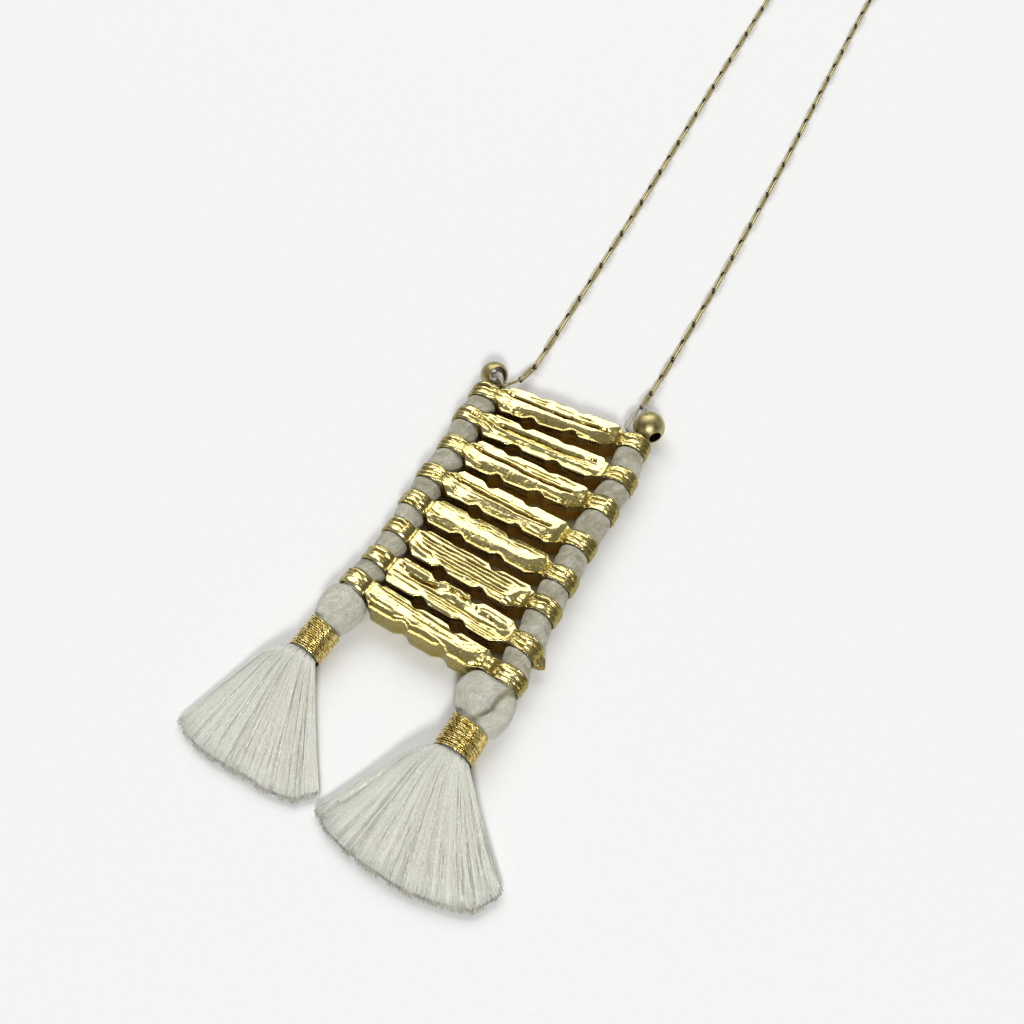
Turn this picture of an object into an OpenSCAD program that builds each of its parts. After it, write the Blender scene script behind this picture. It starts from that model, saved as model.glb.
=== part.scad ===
// Pendant necklace, lying flat with its chain drawn out away from the pendant.
// Eight cast bars are stacked like the rungs of a ladder. Their end eyes are threaded on two thick
// cotton cords, which end in wrapped tassels, and a fine long-link chain closes the loop.
// Lengths are in millimetres. +X runs along the bars and +Y from the tassels to the clasp.

/* [Bars] */
// Thickness of a bar's block
bar_thick = 4.2; // [3.8:0.1:4.4]
// Radius of the eye at each end of a bar
eye_r = 2.75; // [2.7:0.05:2.9]
// Radius of the bore through an eye
eye_bore_r = 2.2; // [2.2:0.05:2.25]
// Width of an eye along the cord
eye_w = 2.7; // [2.5:0.1:2.8]
// Depth of the notches in a block's lower edge
notch_depth = 0.65; // [0.4:0.05:0.9]
// Width of a lower notch at the edge
notch_w = 3; // [2.4:0.1:3.2]
// Distance between the two notches of an edge
notch_gap = 7; // [6.8:0.1:7.6]
// Height of the cast ridges above the block's face
ridge_rise = 0.35; // [0.2:0.05:0.4]

/* [Cords and tassels] */
// Radius of a cord inside an eye
cord_tight_r = 2.08; // [2:0.02:2.1]
// Radius of a cord where it swells between two eyes
cord_loose_r = 2.5; // [2.3:0.05:2.6]
// Radius of the left tassel's winding
wrap_left_r = 2.8; // [2.7:0.05:2.9]
// Radius of the right tassel's winding
wrap_right_r = 3.25; // [3.1:0.05:3.3]
// Turns of metallic thread in a winding
wrap_turns = 18; // [14:1:20]

/* [Beads and chain] */
// Radius of the left bead
bead_left_r = 2.3; // [2.2:0.05:2.4]
// Radius of the right bead
bead_right_r = 2.6; // [2.5:0.05:2.7]
// Radius of a bead's hole
bead_hole_r = 1.3; // [1.1:0.05:1.4]
// Distance from one joint of the chain to the next
link_pitch = 4.35; // [4.35:0.01:4.36]
// Radius of the chain's wire
wire_r = 0.145; // [0.14:0.005:0.15]

/* [Hidden] */

gold = "#c9ad55";
old_brass = "#8a7a45";
cotton = "#c8c6bb";
silk = "#d8d8cc";
gold_thread = "#b8922e";

// The middle of the whole necklace, seen from above, is put over the origin
middle = [-4.93, 137.19];

// One row for each bar, in order from the chain: the left eye's x and y, the right eye's x and y,
// where the block starts after the left eye and ends before the right one, its edges above and below
// the line through the eyes, at its left and right end, its first notch, from the left eye, and the
// depth of its two upper notches
LEFT = 0;
RIGHT = 2;
START = 4;
END = 5;
TOP = 6;
BOTTOM = 8;
NOTCH = 10;
CUT = 11;
bars = [[-13.9, 20.1, 11.7, 23.1, 3.4, 2.9, 2.75, 2.45, -2.65, -2.15, 8.9, 0.3, 0.3],
        [-13.7, 14.6, 12.9, 16.2, 3.3, 3.2, 2.2, 2.2, -2.5, -2.3, 9.2, 0.65, 0.3],
        [-12.8, 8.4, 13.0, 9.9, 3.1, 3.0, 2.75, 2.15, -2.7, -2.5, 8.8, 0.45, 0.3],
        [-12.8, 2.0, 13.2, 2.4, 3.6, 2.8, 2.8, 2.25, -2.5, -2.5, 9.1, 0.7, 0.5],
        [-12.4, -3.7, 13.7, -4.4, 3.3, 3.2, 2.35, 2.4, -2.35, -2.15, 9.1, 0.55, 0.65],
        [-11.8, -9.3, 14.1, -10.2, 3.8, 3.1, 2.15, 2.05, -2.95, -2.85, 9.2, 0.15, 0.75],
        [-11.8, -15.2, 14.8, -17.1, 3.0, 3.1, 2.2, 2.4, -2.8, -2.5, 9.6, 0.7, 0.8],
        [-12.4, -20.3, 15.4, -22.8, 3.8, 4.2, 1.7, 1.9, -2.65, -2.15, 10.0, 0.6, 0.75]];

// The cast ridges of each kind of bar. A row is a ridge: its height above the line through the eyes
// at its left and right end, its half width, and where it starts and ends along the block, from 0 to 1
long_ridges = [[1.9, 1.6, 0.55, 0.02, 0.98], [0.5, 0.9, 0.6, -0.1, 1.08], [-1.6, -1.2, 0.5, 0.04, 0.4]];
rough_ridges = [[1.5, 1.4, 0.4, 0.02, 0.6], [0.7, 0.4, 0.4, -0.1, 0.95], [-0.4, -0.6, 0.4, 0.03, 1.1],
                [-1.5, -1.3, 0.4, 0.35, 0.97]];
band_ridge = [[0.7, 0.9, 1.3, -0.06, 1.06], [-1.5, -1.0, 0.4, 0.03, 0.45]];
fine_ridges = [[1.5, 1.5, 0.3, 0.02, 0.98], [0.8, 0.8, 0.3, -0.1, 0.95], [0.1, 0, 0.3, -0.1, 1.1],
               [-0.7, -0.8, 0.3, 0.03, 1.1], [-1.6, -1.5, 0.3, 0.1, 0.8]];
drop_ridges = [[1.0, 0.9, 0.7, -0.08, 0.5], [0.9, 0.2, 0.7, 0.45, 1.08], [-0.9, -0.6, 0.35, -0.1, 0.6],
               [-1.8, -1.5, 0.35, 0.2, 0.97]];
last_ridges = [[0.3, 0.5, 0.9, -0.08, 1.08], [-1.5, -0.8, 0.35, 0.05, 0.5]];
reliefs = [long_ridges, rough_ridges, long_ridges, long_ridges, band_ridge, fine_ridges, drop_ridges,
           last_ridges];

// An eye is round with three raised bands
eye_band_r = 0.42;
eye_band_gap = 0.9;
// The neck between an eye and its block: its edges at the eye, where it starts and where it widens,
// and how far it lies inside the block's faces
neck_low = -1.15;
neck_high = 1.45;
neck_from = 1.2;
neck_at = 2.45;
neck_drop = 0.2;
neck_in = 0.05;
block_z = 0.3;
block_top = block_z + bar_thick;
notch_floor_w = 0.7;
cut_w = 2.4;
cut_floor_w = 0.6;
corner = 0.5;
low_corner = [1.9, 1.05];

// Clear distance between the cord and the end of a bore, and where the cord swells after it
cord_in = 0.15;
cord_swell = 0.45;
cord_sides = 12;
cord_top = [[2.2, 0.9], [2.1, 1.6], [1.85, 1.95]];

// Lower ends of the cords. A row is a section: x, y, height, turn, half width and half height
left_end = [[-12.4, -22.4, 2.8, -4, 3.1, 2.6], [-12.1, -24.2, 2.8, -3, 3.85, 2.75],
            [-12.3, -26, 2.8, -3, 3.4, 2.75], [-12.5, -27.5, 2.8, -3, 2.7, 2.6],
            [-12.52, -28.1, 2.8, -3, 2.15, 2.15], [-12.65, -31.1, 2.8, -3, 2.15, 2.15]];
right_end = [[14.7, -24.8, 2.8, -8, 2.6, 2.3], [13.3, -26.2, 2.85, -12, 3.3, 2.7],
             [12.75, -27.8, 2.9, 0, 3.3, 2.8], [13.1, -29.4, 3.0, 10, 2.9, 2.8],
             [14.1, -30.7, 3.2, 3, 2.6, 2.6], [14.43, -31.5, 3.25, 0.5, 2.55, 2.55],
             [14.47, -34.3, 3.25, 0.5, 2.55, 2.55]];
right_fold = [[15.4, -24.3, 2.75, -4, 1.7, 1.7], [16.5, -25.4, 2.75, 5, 1.95, 2.2],
              [17.1, -26.9, 2.8, 0, 1.85, 2.4], [16.9, -28.6, 2.9, -8, 1.85, 2.4],
              [16.1, -30.2, 3.1, -15, 1.7, 2.3], [15.2, -31.2, 3.2, -10, 1.4, 2.0]];

// Windings and tassels: the winding's upper and lower end and its wall. A spread is the way a tassel
// points and how far it fans to either side, a skirt is its length from the left edge to the right,
// and a bow is how far its left edge swells out
wrap_wall = 0.5;
wrap_left_top = [-12.5, -28.3];
wrap_left_end = [-12.8, -34.1];
wrap_right_top = [14.45, -31.6];
wrap_right_end = [14.5, -37.1];
left_skirt = [20.2, 20.3, 20, 19.8, 20, 21.2, 22.2, 21.4];
right_skirt = [20.4, 20.1, 19.4, 19.3, 19.9, 20.7, 22, 20.6];
left_spread = [-85.5, 35.5];
right_spread = [-84, 45.5];
left_bow = 2;
right_bow = 1.8;
lock_rise = 0.16;
locks = 14;
// Sections of a tassel: how far along its length, its middle's height and its half height
skirt_rows = [[0.008, 1, 0.77], [0.05, 0.94, 0.94], [0.14, 0.8, 0.82], [0.3, 0.6, 0.62], [0.5, 0.46, 0.47],
              [0.75, 0.36, 0.37], [0.95, 0.3, 0.3], [1, 0.26, 0.2]];

// Chain. Neighbouring links are turned a quarter turn, half of it to each side of level
link_bend = 0.425;
link_lap = 0.22;
links_left = 74;
links_right = 73;
chain_z = 0.5;
clasp_z = 0.85;
route_steps = 8;
drop_x = -10;
drop_y = 300;
drop_r = 30;
// Where the chain runs: x, y and height, from the pendant until it widens into a round end
left_route = [[-12.5, 23.1, 3.4], [-12, 24.5, 2.8], [-11.45, 26.2, 2.05], [-11.1, 28.2, 1.4],
              [-10.95, 30.4, 0.9], [-11, 33, 0.62], [-11.3, 37, chain_z], [-11.7, 45, chain_z],
              [-12.9, 69, chain_z], [-15, 101, chain_z], [-17.3, 138, chain_z],
              [-19.2, 170, chain_z], [-20.9, 200, chain_z], [-23.4, 225, chain_z],
              [-28.7, 250, chain_z], [-35.5, 275, chain_z]];
right_route = [[8.95, 31.7, 2.1], [8.8, 33.4, 1.55], [8.6, 35.6, 0.98], [8.5, 38, 0.65],
               [8.4, 41, chain_z], [8.3, 44, chain_z], [7.3, 66, chain_z], [5.2, 96, chain_z], [2.9, 122, chain_z],
               [0.7, 149, chain_z], [-0.5, 175, chain_z], [0, 200, chain_z], [3.4, 225, chain_z],
               [8.7, 250, chain_z], [15.5, 275, chain_z]];
drop_turns = [10, -5, -20, -35, -50, -65, -80, -92];

// Beads, each on its thread: the middle and the way that the hole points
bead_left_at = [-15.3, 25.2, bead_left_r + 0.05];
bead_left_hole = [0.634, -0.295, 0.719];
bead_right_at = [11.95, 28.3, bead_right_r + 0.05];
bead_right_hole = [0.776, -0.623, 0.09];
// Threads: x, y, height and radius
thread_sides = 8;
left_thread = [[-14.0, 22.87, 2.85, 0.36], [-13.2, 22.82, 2.75, 0.33], [-12.5, 22.8, 2.75, 0.27],
               [-12.15, 23.02, 2.97, 0.18], [-12.44, 23.29, 3.32, 0.12], [-12.75, 23.55, 3.68, 0.2],
               [-13.25, 23.95, 4.1, 0.42], [-14.0, 24.6, 3.85, 0.55], [-15.0, 25.05, 2.7, 0.55],
               [-16.0, 25.5, 1.55, 0.5]];
right_thread = [[10.1, 25.75, 2.7, 0.38], [9.3, 26.1, 2.65, 0.42], [8.65, 27.1, 2.6, 0.48],
                [8.6, 28.3, 2.55, 0.5], [8.6, 29.5, 2.4, 0.46], [8.55, 30.6, 2.0, 0.36],
                [8.5, 31.25, 1.75, 0.25], [8.62, 31.7, 1.75, 0.18], [8.93, 31.9, 2.03, 0.12],
                [9.25, 31.95, 2.38, 0.18], [9.65, 31.4, 2.6, 0.3], [9.8, 30.6, 2.6, 0.4],
                [10.5, 29.45, 2.5, 0.5], [12.3, 28.0, 2.75, 0.5]];

// Clasp: a plain round bar with an eye at each end
clasp_r = 1.1;
clasp_eye_bend = 0.75;

// Direction of a bar, from its left eye to its right one
function bar_turn(row) = atan2(row[RIGHT + 1] - row[LEFT + 1], row[RIGHT] - row[LEFT]);
function bar_length(row) = norm([row[RIGHT] - row[LEFT], row[RIGHT + 1] - row[LEFT + 1]]);

// A smooth curve through points, with n steps from each point to the next
function curve_point(a, b, c, d, t) =
    0.5 * (2 * b + (c - a) * t + (2 * a - 5 * b + 4 * c - d) * t * t
           + (3 * b - a - 3 * c + d) * t * t * t);
function curve(points, n) =
    let (last = len(points) - 1)
    [for (i = [0 : last - 1], k = [0 : n - 1])
        curve_point(points[max(i - 1, 0)], points[i], points[i + 1], points[min(i + 2, last)], k / n),
     points[last]];

// Lengths along a line of points, from its start
function run_lengths(points, i = 0, so_far = 0) =
    i >= len(points) - 1 ? [so_far]
    : concat([so_far], run_lengths(points, i + 1, so_far + norm(points[i + 1] - points[i])));

// Part of a run that lies within an eye, and of the swelling between two eyes. A section of a cord is
// x, y, height, turn, half width and half height
function section(eye, turn, along, r) =
    [eye[0] - along * sin(turn), eye[1] + along * cos(turn), eye_r, turn, r, r];
function eye_at(i, side) = [bars[i][side], bars[i][side + 1]];
function cord_through(i, side) =
    let (eye = eye_at(i, side), turn = bar_turn(bars[i]), edge = eye_w / 2 + cord_in)
    [section(eye, turn, edge, cord_tight_r), section(eye, turn, -edge, cord_tight_r)];
function cord_between(i, side) =
    let (a = section(eye_at(i, side), bar_turn(bars[i]), -eye_w / 2 - cord_swell, cord_loose_r - 0.12),
         b = section(eye_at(i + 1, side), bar_turn(bars[i + 1]), eye_w / 2 + cord_swell,
                     cord_loose_r - 0.12),
         mid = (a + b) / 2)
    [a, [mid[0], mid[1], mid[2], mid[3], cord_loose_r, cord_loose_r], b];
function cord_sections(side, lower_end) =
    concat([for (step = cord_top) section(eye_at(0, side), bar_turn(bars[0]), step[0], step[1])],
           [for (i = [0 : 7]) each concat(cord_through(i, side), i < 7 ? cord_between(i, side) : [])],
           lower_end);

// A closed skin over sections that lie along a cord, with flat ends
module skin(sections, sides) {
    rings = len(sections);
    points = [for (s = sections, k = [0 : sides - 1])
        let (a = 360 * k / sides)
        [s[0] + s[4] * cos(a) * cos(s[3]), s[1] + s[4] * cos(a) * sin(s[3]), s[2] + s[5] * sin(a)]];
    strip = [for (i = [0 : rings - 2], k = [0 : sides - 1])
        let (a = i * sides + k, b = i * sides + (k + 1) % sides)
        each [[a, b + sides, b], [a, a + sides, b + sides]]];
    ends = [[for (k = [0 : sides - 1]) k],
            [for (k = [sides - 1 : -1 : 0]) (rings - 1) * sides + k]];
    polyhedron(points, concat(strip, ends));
}

// A round tube along points in space, each with its own radius
module tube(points, sides) {
    last = len(points) - 1;
    path = [for (p = points) [p[0], p[1], p[2]]];
    rings = [for (i = [0 : last])
        let (ahead = path[min(i + 1, last)] - path[max(i - 1, 0)],
             along = ahead / norm(ahead),
             across = cross(along, [0, 0, 1]),
             side = across / norm(across),
             high = cross(side, along))
        [for (k = [0 : sides - 1])
            path[i] + points[i][3] * (cos(360 * k / sides) * side + sin(360 * k / sides) * high)]];
    flat = [for (ring = rings, p = ring) p];
    strip = [for (i = [0 : last - 1], k = [0 : sides - 1])
        let (a = i * sides + k, b = i * sides + (k + 1) % sides)
        each [[a, b, b + sides], [a, b + sides, a + sides]]];
    ends = [[for (k = [sides - 1 : -1 : 0]) k], [for (k = [0 : sides - 1]) last * sides + k]];
    polyhedron(flat, concat(strip, ends));
}

// Outline of a bar's block, with a chamfer at each corner and two notches in each long edge
module block_outline(row) {
    from = row[START];
    to = bar_length(row) - row[END];
    function edge(side, u) = row[side] + (row[side + 1] - row[side]) * (u - from) / (to - from);
    function notch(side, u, width, floor_w, rise) =
        [[u - width / 2, edge(side, u)], [u - floor_w / 2, edge(side, u) + rise],
         [u + floor_w / 2, edge(side, u) + rise], [u + width / 2, edge(side, u)]];
    function upper(k) = notch(TOP, row[NOTCH] + k * notch_gap, cut_w, cut_floor_w, -row[CUT + k]);
    function lower(k) = backwards(notch(BOTTOM, row[NOTCH] + k * notch_gap, notch_w, notch_floor_w, notch_depth));
    function backwards(list) = [for (i = [len(list) - 1 : -1 : 0]) list[i]];
    polygon(concat([[from, row[TOP] - corner], [from + corner, row[TOP]]], upper(0), upper(1),
                   [[to - corner, row[TOP + 1]], [to, row[TOP + 1] - corner],
                    [to, row[BOTTOM + 1] + low_corner[1]], [to - low_corner[0], row[BOTTOM + 1]]],
                   lower(1), lower(0), [[from + corner, row[BOTTOM]], [from, row[BOTTOM] + corner]]));
}

// A neck from an eye at the origin to the end of a block, which lies at u and is high to low there
module neck(u, high, low) {
    way = sign(u);
    translate([0, 0, block_z + neck_drop])
        linear_extrude(bar_thick - 2 * neck_drop)
            polygon([[way * neck_from, neck_low], [way * neck_at, neck_low], [u + way * neck_in, low + neck_in],
                     [u + way, low + neck_in], [u + way, high - neck_in], [u + way * neck_in, high - neck_in],
                     [way * neck_at, neck_high], [way * neck_from, neck_high]]);
}

// One raised ridge on a block's face, a round bar with pointed ends
module ridge(row, shape) {
    from = row[START];
    span = bar_length(row) - row[END] - from;
    a = [from + shape[3] * span, shape[0], block_top + ridge_rise - shape[2]];
    b = [from + shape[4] * span, shape[1], block_top + ridge_rise - shape[2]];
    point = 2 * shape[2];
    translate(a)
        rotate([0, 90, atan2(b[1] - a[1], b[0] - a[0])])
            rotate_extrude($fn = 24)
                polygon([[0, 0], [shape[2], point], [shape[2], norm(b - a) - point], [0, norm(b - a)]]);
}

// The outer form of an eye, lying across the bar with its three bands
module eye() {
    translate([0, 0, eye_r])
        rotate([90, 0, 0])
            rotate_extrude($fn = 48) {
                translate([0, -eye_w / 2])
                    square([eye_r - 0.2, eye_w]);
                for (k = [-1 : 1])
                    translate([eye_r - eye_band_r, k * eye_band_gap])
                        circle(r = eye_band_r, $fn = 24);
            }
}

module eye_bore() {
    translate([0, 0, eye_r])
        rotate([90, 0, 0])
            cylinder(r = eye_bore_r, h = 2 * eye_w, center = true, $fn = 48);
}

module bar(i) {
    row = bars[i];
    span = bar_length(row);
    color(gold)
        translate([row[LEFT] - middle[0], row[LEFT + 1] - middle[1], 0])
            rotate([0, 0, bar_turn(row)])
                difference() {
                    union() {
                        translate([0, 0, block_z])
                            linear_extrude(bar_thick)
                                block_outline(row);
                        for (shape = reliefs[i])
                            ridge(row, shape);
                        eye();
                        translate([span, 0, 0])
                            eye();
                        neck(row[START], row[TOP] - corner, row[BOTTOM] + corner);
                        translate([span, 0, 0])
                            neck(-row[END], row[TOP + 1] - corner, row[BOTTOM + 1] + low_corner[1]);
                        if (i == 6)
                            casting_spur(span);
                    }
                    eye_bore();
                    translate([span, 0, 0])
                        eye_bore();
                }
}

// A small burr that the casting left on the seventh bar's right eye
module casting_spur(span) {
    translate([span + eye_r - 0.6, -1.3, 1.6])
        cube([1.6, 1.1, 1.4]);
}

module cord(side, lower_end) {
    color(cotton)
        translate([-middle[0], -middle[1], 0])
            skin(cord_sections(side, lower_end), cord_sides);
}

module bead(at, r, hole) {
    color(old_brass)
        translate([at[0] - middle[0], at[1] - middle[1], at[2]])
            rotate([0, acos(hole[2]), atan2(hole[1], hole[0])])
                difference() {
                    sphere(r = r, $fn = 48);
                    cylinder(r = bead_hole_r, h = 3 * r, center = true, $fn = 32);
                }
}

module thread(points) {
    color(cotton)
        translate([-middle[0], -middle[1], 0])
            tube(curve(points, 4), thread_sides);
}

// A winding of metallic thread, one round turn beside the next
module wrap(top, end, r) {
    length = norm(end - top);
    turn_r = length / wrap_turns / 2;
    color(gold_thread)
        translate([top[0] - middle[0], top[1] - middle[1], r])
            rotate([90, 0, atan2(end[1] - top[1], end[0] - top[0]) + 90])
                difference() {
                    rotate_extrude($fn = 48) {
                        square([r - turn_r, length]);
                        for (k = [0 : wrap_turns - 1])
                            translate([r - turn_r, (2 * k + 1) * turn_r])
                                circle(r = turn_r, $fn = 16);
                    }
                    translate([0, 0, -1])
                        cylinder(r = r - wrap_wall, h = length + 2, $fn = 48);
                }
}

// A fanned tassel in locks, with its head inside the winding
module tassel(top, end, wrap_r, spread, lengths, bow) {
    upper = 3 * locks;
    lower = locks;
    head_r = wrap_r - wrap_wall - 0.15;
    head_in = norm(end - top) / 2 - 0.2;
    along = (end - top) / norm(end - top);
    side = [-along[1], along[0]];
    function fan_length(a) = lookup((a + 1) / 2 * (len(lengths) - 1), [for (i = [0 : len(lengths) - 1])
        [i, lengths[i]]]);
    function place(row, a, way, rise) =
        let (out = max(0, row[0]),
             reach = out > 0 ? fan_length(a) * out : row[0],
             turn = spread[0] + a * spread[1],
             swell = sqrt(max(0, out - 0.02)),
             across = a * head_r * pow(1 - out, 1.5) - 2 * bow * (1 - a) * swell * (1 - swell),
             full = out > 0 ? 0.8 : 1)
        [end[0] + reach * (out > 0 ? cos(turn) : along[0]) + side[0] * across,
         end[1] + reach * (out > 0 ? sin(turn) : along[1]) + side[1] * across,
         max(0, wrap_r * row[1] + way * wrap_r * row[2] * sqrt(max(0, 1 - full * a * a)) + rise)];
    rows = concat([[-head_in, 1, head_r / wrap_r], [-0.1, 1, head_r / wrap_r]], skirt_rows);
    function spot(j) = -cos(180 * j / upper);
    points = [for (row = rows)
        each concat([for (j = [0 : upper])
                        place(row, spot(j), 1, row[0] > 0 && j % 3 != 0 ? lock_rise * sqrt(row[0]) : 0)],
                    [for (k = [lower : -1 : 0]) place(row, spot(3 * k), -1, 0)])];
    loop = upper + lower + 2;
    last = len(rows) - 1;
    strip = [for (i = [0 : last - 1], k = [0 : loop - 1])
        let (a = i * loop + k, b = i * loop + (k + 1) % loop)
        each [[a, b, b + loop], [a, b + loop, a + loop]]];
    head = [[for (k = [loop - 1 : -1 : 0]) k]];
    first = last * loop;
    function below(k) = first + upper + 1 + lower - k;
    tips = [for (k = [0 : lower - 1])
        each [[first + 3 * k, first + 3 * k + 1, below(k)], [first + 3 * k + 1, first + 3 * k + 2, below(k)],
              [first + 3 * k + 2, first + 3 * k + 3, below(k)], [first + 3 * k + 3, below(k + 1), below(k)]]];
    color(silk)
        translate([-middle[0], -middle[1], 0])
            polyhedron(points, concat(strip, head, tips));
}

// One long link, along X and flat
module link() {
    straight = link_pitch / 2 + link_lap - link_bend;
    for (way = [-1, 1]) {
        translate([way * straight, 0, 0])
            rotate([0, 0, way * 90 - 180])
                rotate_extrude(angle = 180, $fn = 24)
                    translate([link_bend, 0])
                        circle(r = wire_r, $fn = 16);
        translate([-straight, way * link_bend, 0])
            rotate([0, 90, 0])
                cylinder(r = wire_r, h = 2 * straight, $fn = 16);
    }
}

// The whole way of one half of the chain, with its round end
function chain_way(route, way) =
    concat(route, [for (turn = drop_turns)
        [drop_x + way * drop_r * cos(turn), drop_y - drop_r * sin(turn),
         turn < -60 ? clasp_z : chain_z]]);
function chain_joints(route, way, count) =
    let (path = curve(chain_way(route, way), route_steps),
         lengths = run_lengths(path),
         xs = [for (i = [0 : len(path) - 1]) [lengths[i], path[i][0]]],
         ys = [for (i = [0 : len(path) - 1]) [lengths[i], path[i][1]]],
         zs = [for (i = [0 : len(path) - 1]) [lengths[i], path[i][2]]])
    [for (i = [0 : count]) [lookup(i * link_pitch, xs), lookup(i * link_pitch, ys),
                            lookup(i * link_pitch, zs)]];
joints_left = chain_joints(left_route, -1, links_left);
joints_right = chain_joints(right_route, 1, links_right);

// A link's turn about its own length; the first link of each half is turned to lie across its thread
function link_turn(first, i) = i % 2 == 0 ? first : -first;

module chain(joints, first) {
    color(old_brass)
        for (i = [0 : len(joints) - 2]) {
            a = joints[i];
            b = joints[i + 1];
            translate((a + b) / 2 - [middle[0], middle[1], 0])
                rotate([0, -asin((b[2] - a[2]) / norm(b - a)), atan2(b[1] - a[1], b[0] - a[0])])
                    rotate([link_turn(first, i), 0, 0])
                        link();
        }
}

module clasp() {
    a = joints_left[links_left];
    b = joints_right[links_right];
    reach = norm(b - a);
    turn_a = -link_turn(-45, links_left - 1);
    turn_b = link_turn(45, links_right - 1);
    color(old_brass)
        translate([a[0] - middle[0], a[1] - middle[1], clasp_r])
            rotate([0, 0, atan2(b[1] - a[1], b[0] - a[0])])
                union() {
                    translate([1.1, 0, 0])
                        rotate([0, 90, 0])
                            cylinder(r = clasp_r, h = reach - 2.2, $fn = 32);
                    translate([clasp_eye_bend - link_lap, 0, clasp_z - clasp_r])
                        rotate([turn_a, 0, 0])
                            clasp_eye();
                    translate([reach - clasp_eye_bend + link_lap, 0, clasp_z - clasp_r])
                        rotate([turn_b, 0, 0])
                            clasp_eye();
                }
}

module clasp_eye() {
    rotate_extrude($fn = 32)
        translate([clasp_eye_bend, 0])
            circle(r = wire_r, $fn = 16);
}

bar(0);  // bar_1
bar(1);  // bar_2
bar(2);  // bar_3
bar(3);  // bar_4
bar(4);  // bar_5
bar(5);  // bar_6
bar(6);  // bar_7
bar(7);  // bar_8
cord(LEFT, left_end);  // cord_left
union() {  // cord_right
    cord(RIGHT, right_end);
    cord_fold();
}
bead(bead_left_at, bead_left_r, bead_left_hole);  // bead_left
bead(bead_right_at, bead_right_r, bead_right_hole);  // bead_right
thread(left_thread);  // thread_left
thread(right_thread);  // thread_right
wrap(wrap_left_top, wrap_left_end, wrap_left_r);  // wrap_left
wrap(wrap_right_top, wrap_right_end, wrap_right_r);  // wrap_right
tassel(wrap_left_top, wrap_left_end, wrap_left_r, left_spread, left_skirt, left_bow);  // tassel_left
tassel(wrap_right_top, wrap_right_end, wrap_right_r, right_spread, right_skirt, right_bow);  // tassel_right
chain(joints_left, -45);  // chain_left
chain(joints_right, 45);  // chain_right
clasp();

// The second half of the right cord, folded down beside the first
module cord_fold() {
    color(cotton)
        translate([-middle[0], -middle[1], 0])
            skin(right_fold, cord_sides);
}
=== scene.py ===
"""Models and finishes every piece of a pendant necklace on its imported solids."""

import math

import bpy
import numpy as np
from mathutils import Matrix, Vector
from mathutils.bvhtree import BVHTree


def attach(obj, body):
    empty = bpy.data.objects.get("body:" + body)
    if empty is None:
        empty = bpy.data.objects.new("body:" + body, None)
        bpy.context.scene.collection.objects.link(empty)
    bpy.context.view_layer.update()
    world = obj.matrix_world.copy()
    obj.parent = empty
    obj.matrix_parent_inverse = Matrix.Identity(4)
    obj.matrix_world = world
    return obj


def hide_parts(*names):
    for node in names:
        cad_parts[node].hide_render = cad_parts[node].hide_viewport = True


bl_info = {
    "name": "Pendant necklace",
    "version": (1, 0, 0),
    "blender": (4, 5, 0),
    "location": "View3D > Sidebar > Necklace",
    "description": "Cast bars, cords, tassels, beads and chain of a pendant necklace",
    "category": "Add Mesh",
}

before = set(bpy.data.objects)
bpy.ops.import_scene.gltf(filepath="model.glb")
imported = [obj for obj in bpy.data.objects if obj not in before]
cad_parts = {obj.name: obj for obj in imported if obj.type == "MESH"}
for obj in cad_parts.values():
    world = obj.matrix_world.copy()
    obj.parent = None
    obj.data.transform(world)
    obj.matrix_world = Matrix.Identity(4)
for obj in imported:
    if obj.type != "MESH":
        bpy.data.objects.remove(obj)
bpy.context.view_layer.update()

# Lengths in the tables are millimetres, measured from the middle of the pendant
MM = 0.001
MIDDLE = (-4.93, 137.19)
LEFT = 0
RIGHT = 2

# A bar's row: its left eye's x and y, its right eye's x and y, where the block starts after the left
# eye and ends before the right one, its upper edge at the left and right, its lower edge at the left
# and right, its first notch, and the depth of its two upper notches
BARS = (
    (-13.9, 20.1, 11.7, 23.1, 3.4, 2.9, 2.75, 2.45, -2.65, -2.15, 8.9, 0.3, 0.3),
    (-13.7, 14.6, 12.9, 16.2, 3.3, 3.2, 2.2, 2.2, -2.5, -2.3, 9.2, 0.65, 0.3),
    (-12.8, 8.4, 13.0, 9.9, 3.1, 3.0, 2.75, 2.15, -2.7, -2.5, 8.8, 0.45, 0.3),
    (-12.8, 2.0, 13.2, 2.4, 3.6, 2.8, 2.8, 2.25, -2.5, -2.5, 9.1, 0.7, 0.5),
    (-12.4, -3.7, 13.7, -4.4, 3.3, 3.2, 2.35, 2.4, -2.35, -2.15, 9.1, 0.55, 0.65),
    (-11.8, -9.3, 14.1, -10.2, 3.8, 3.1, 2.15, 2.05, -2.95, -2.85, 9.2, 0.15, 0.75),
    (-11.8, -15.2, 14.8, -17.1, 3.0, 3.1, 2.2, 2.4, -2.8, -2.5, 9.6, 0.7, 0.8),
    (-12.4, -20.3, 15.4, -22.8, 3.8, 4.2, 1.7, 1.9, -2.65, -2.15, 10.0, 0.6, 0.75),
)
# The share of a carved bar's faces that is kept. The first to go lie under this height or in a bore
FACES_KEPT = 0.6
UNDERSIDE = 2.0
EYE_R = 2.75
BORE_R = 2.2
EYE_W = 2.7
EYE_SIDES = 96
BLOCK_LOW = 0.3
BLOCK_TOP = 4.5
# Notches: how far the second lies past the first, their width at the edge and at the floor, and the
# depth of a lower one
NOTCH_GAP = 7.0
UPPER_NOTCH = (2.4, 0.6)
LOWER_NOTCH = (3.0, 0.7, 0.65)
# The cut corners of a block, and how far the one at the lower right is cut along and across
CORNER = 0.5
LOW_CORNER = (1.9, 1.05)
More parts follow.
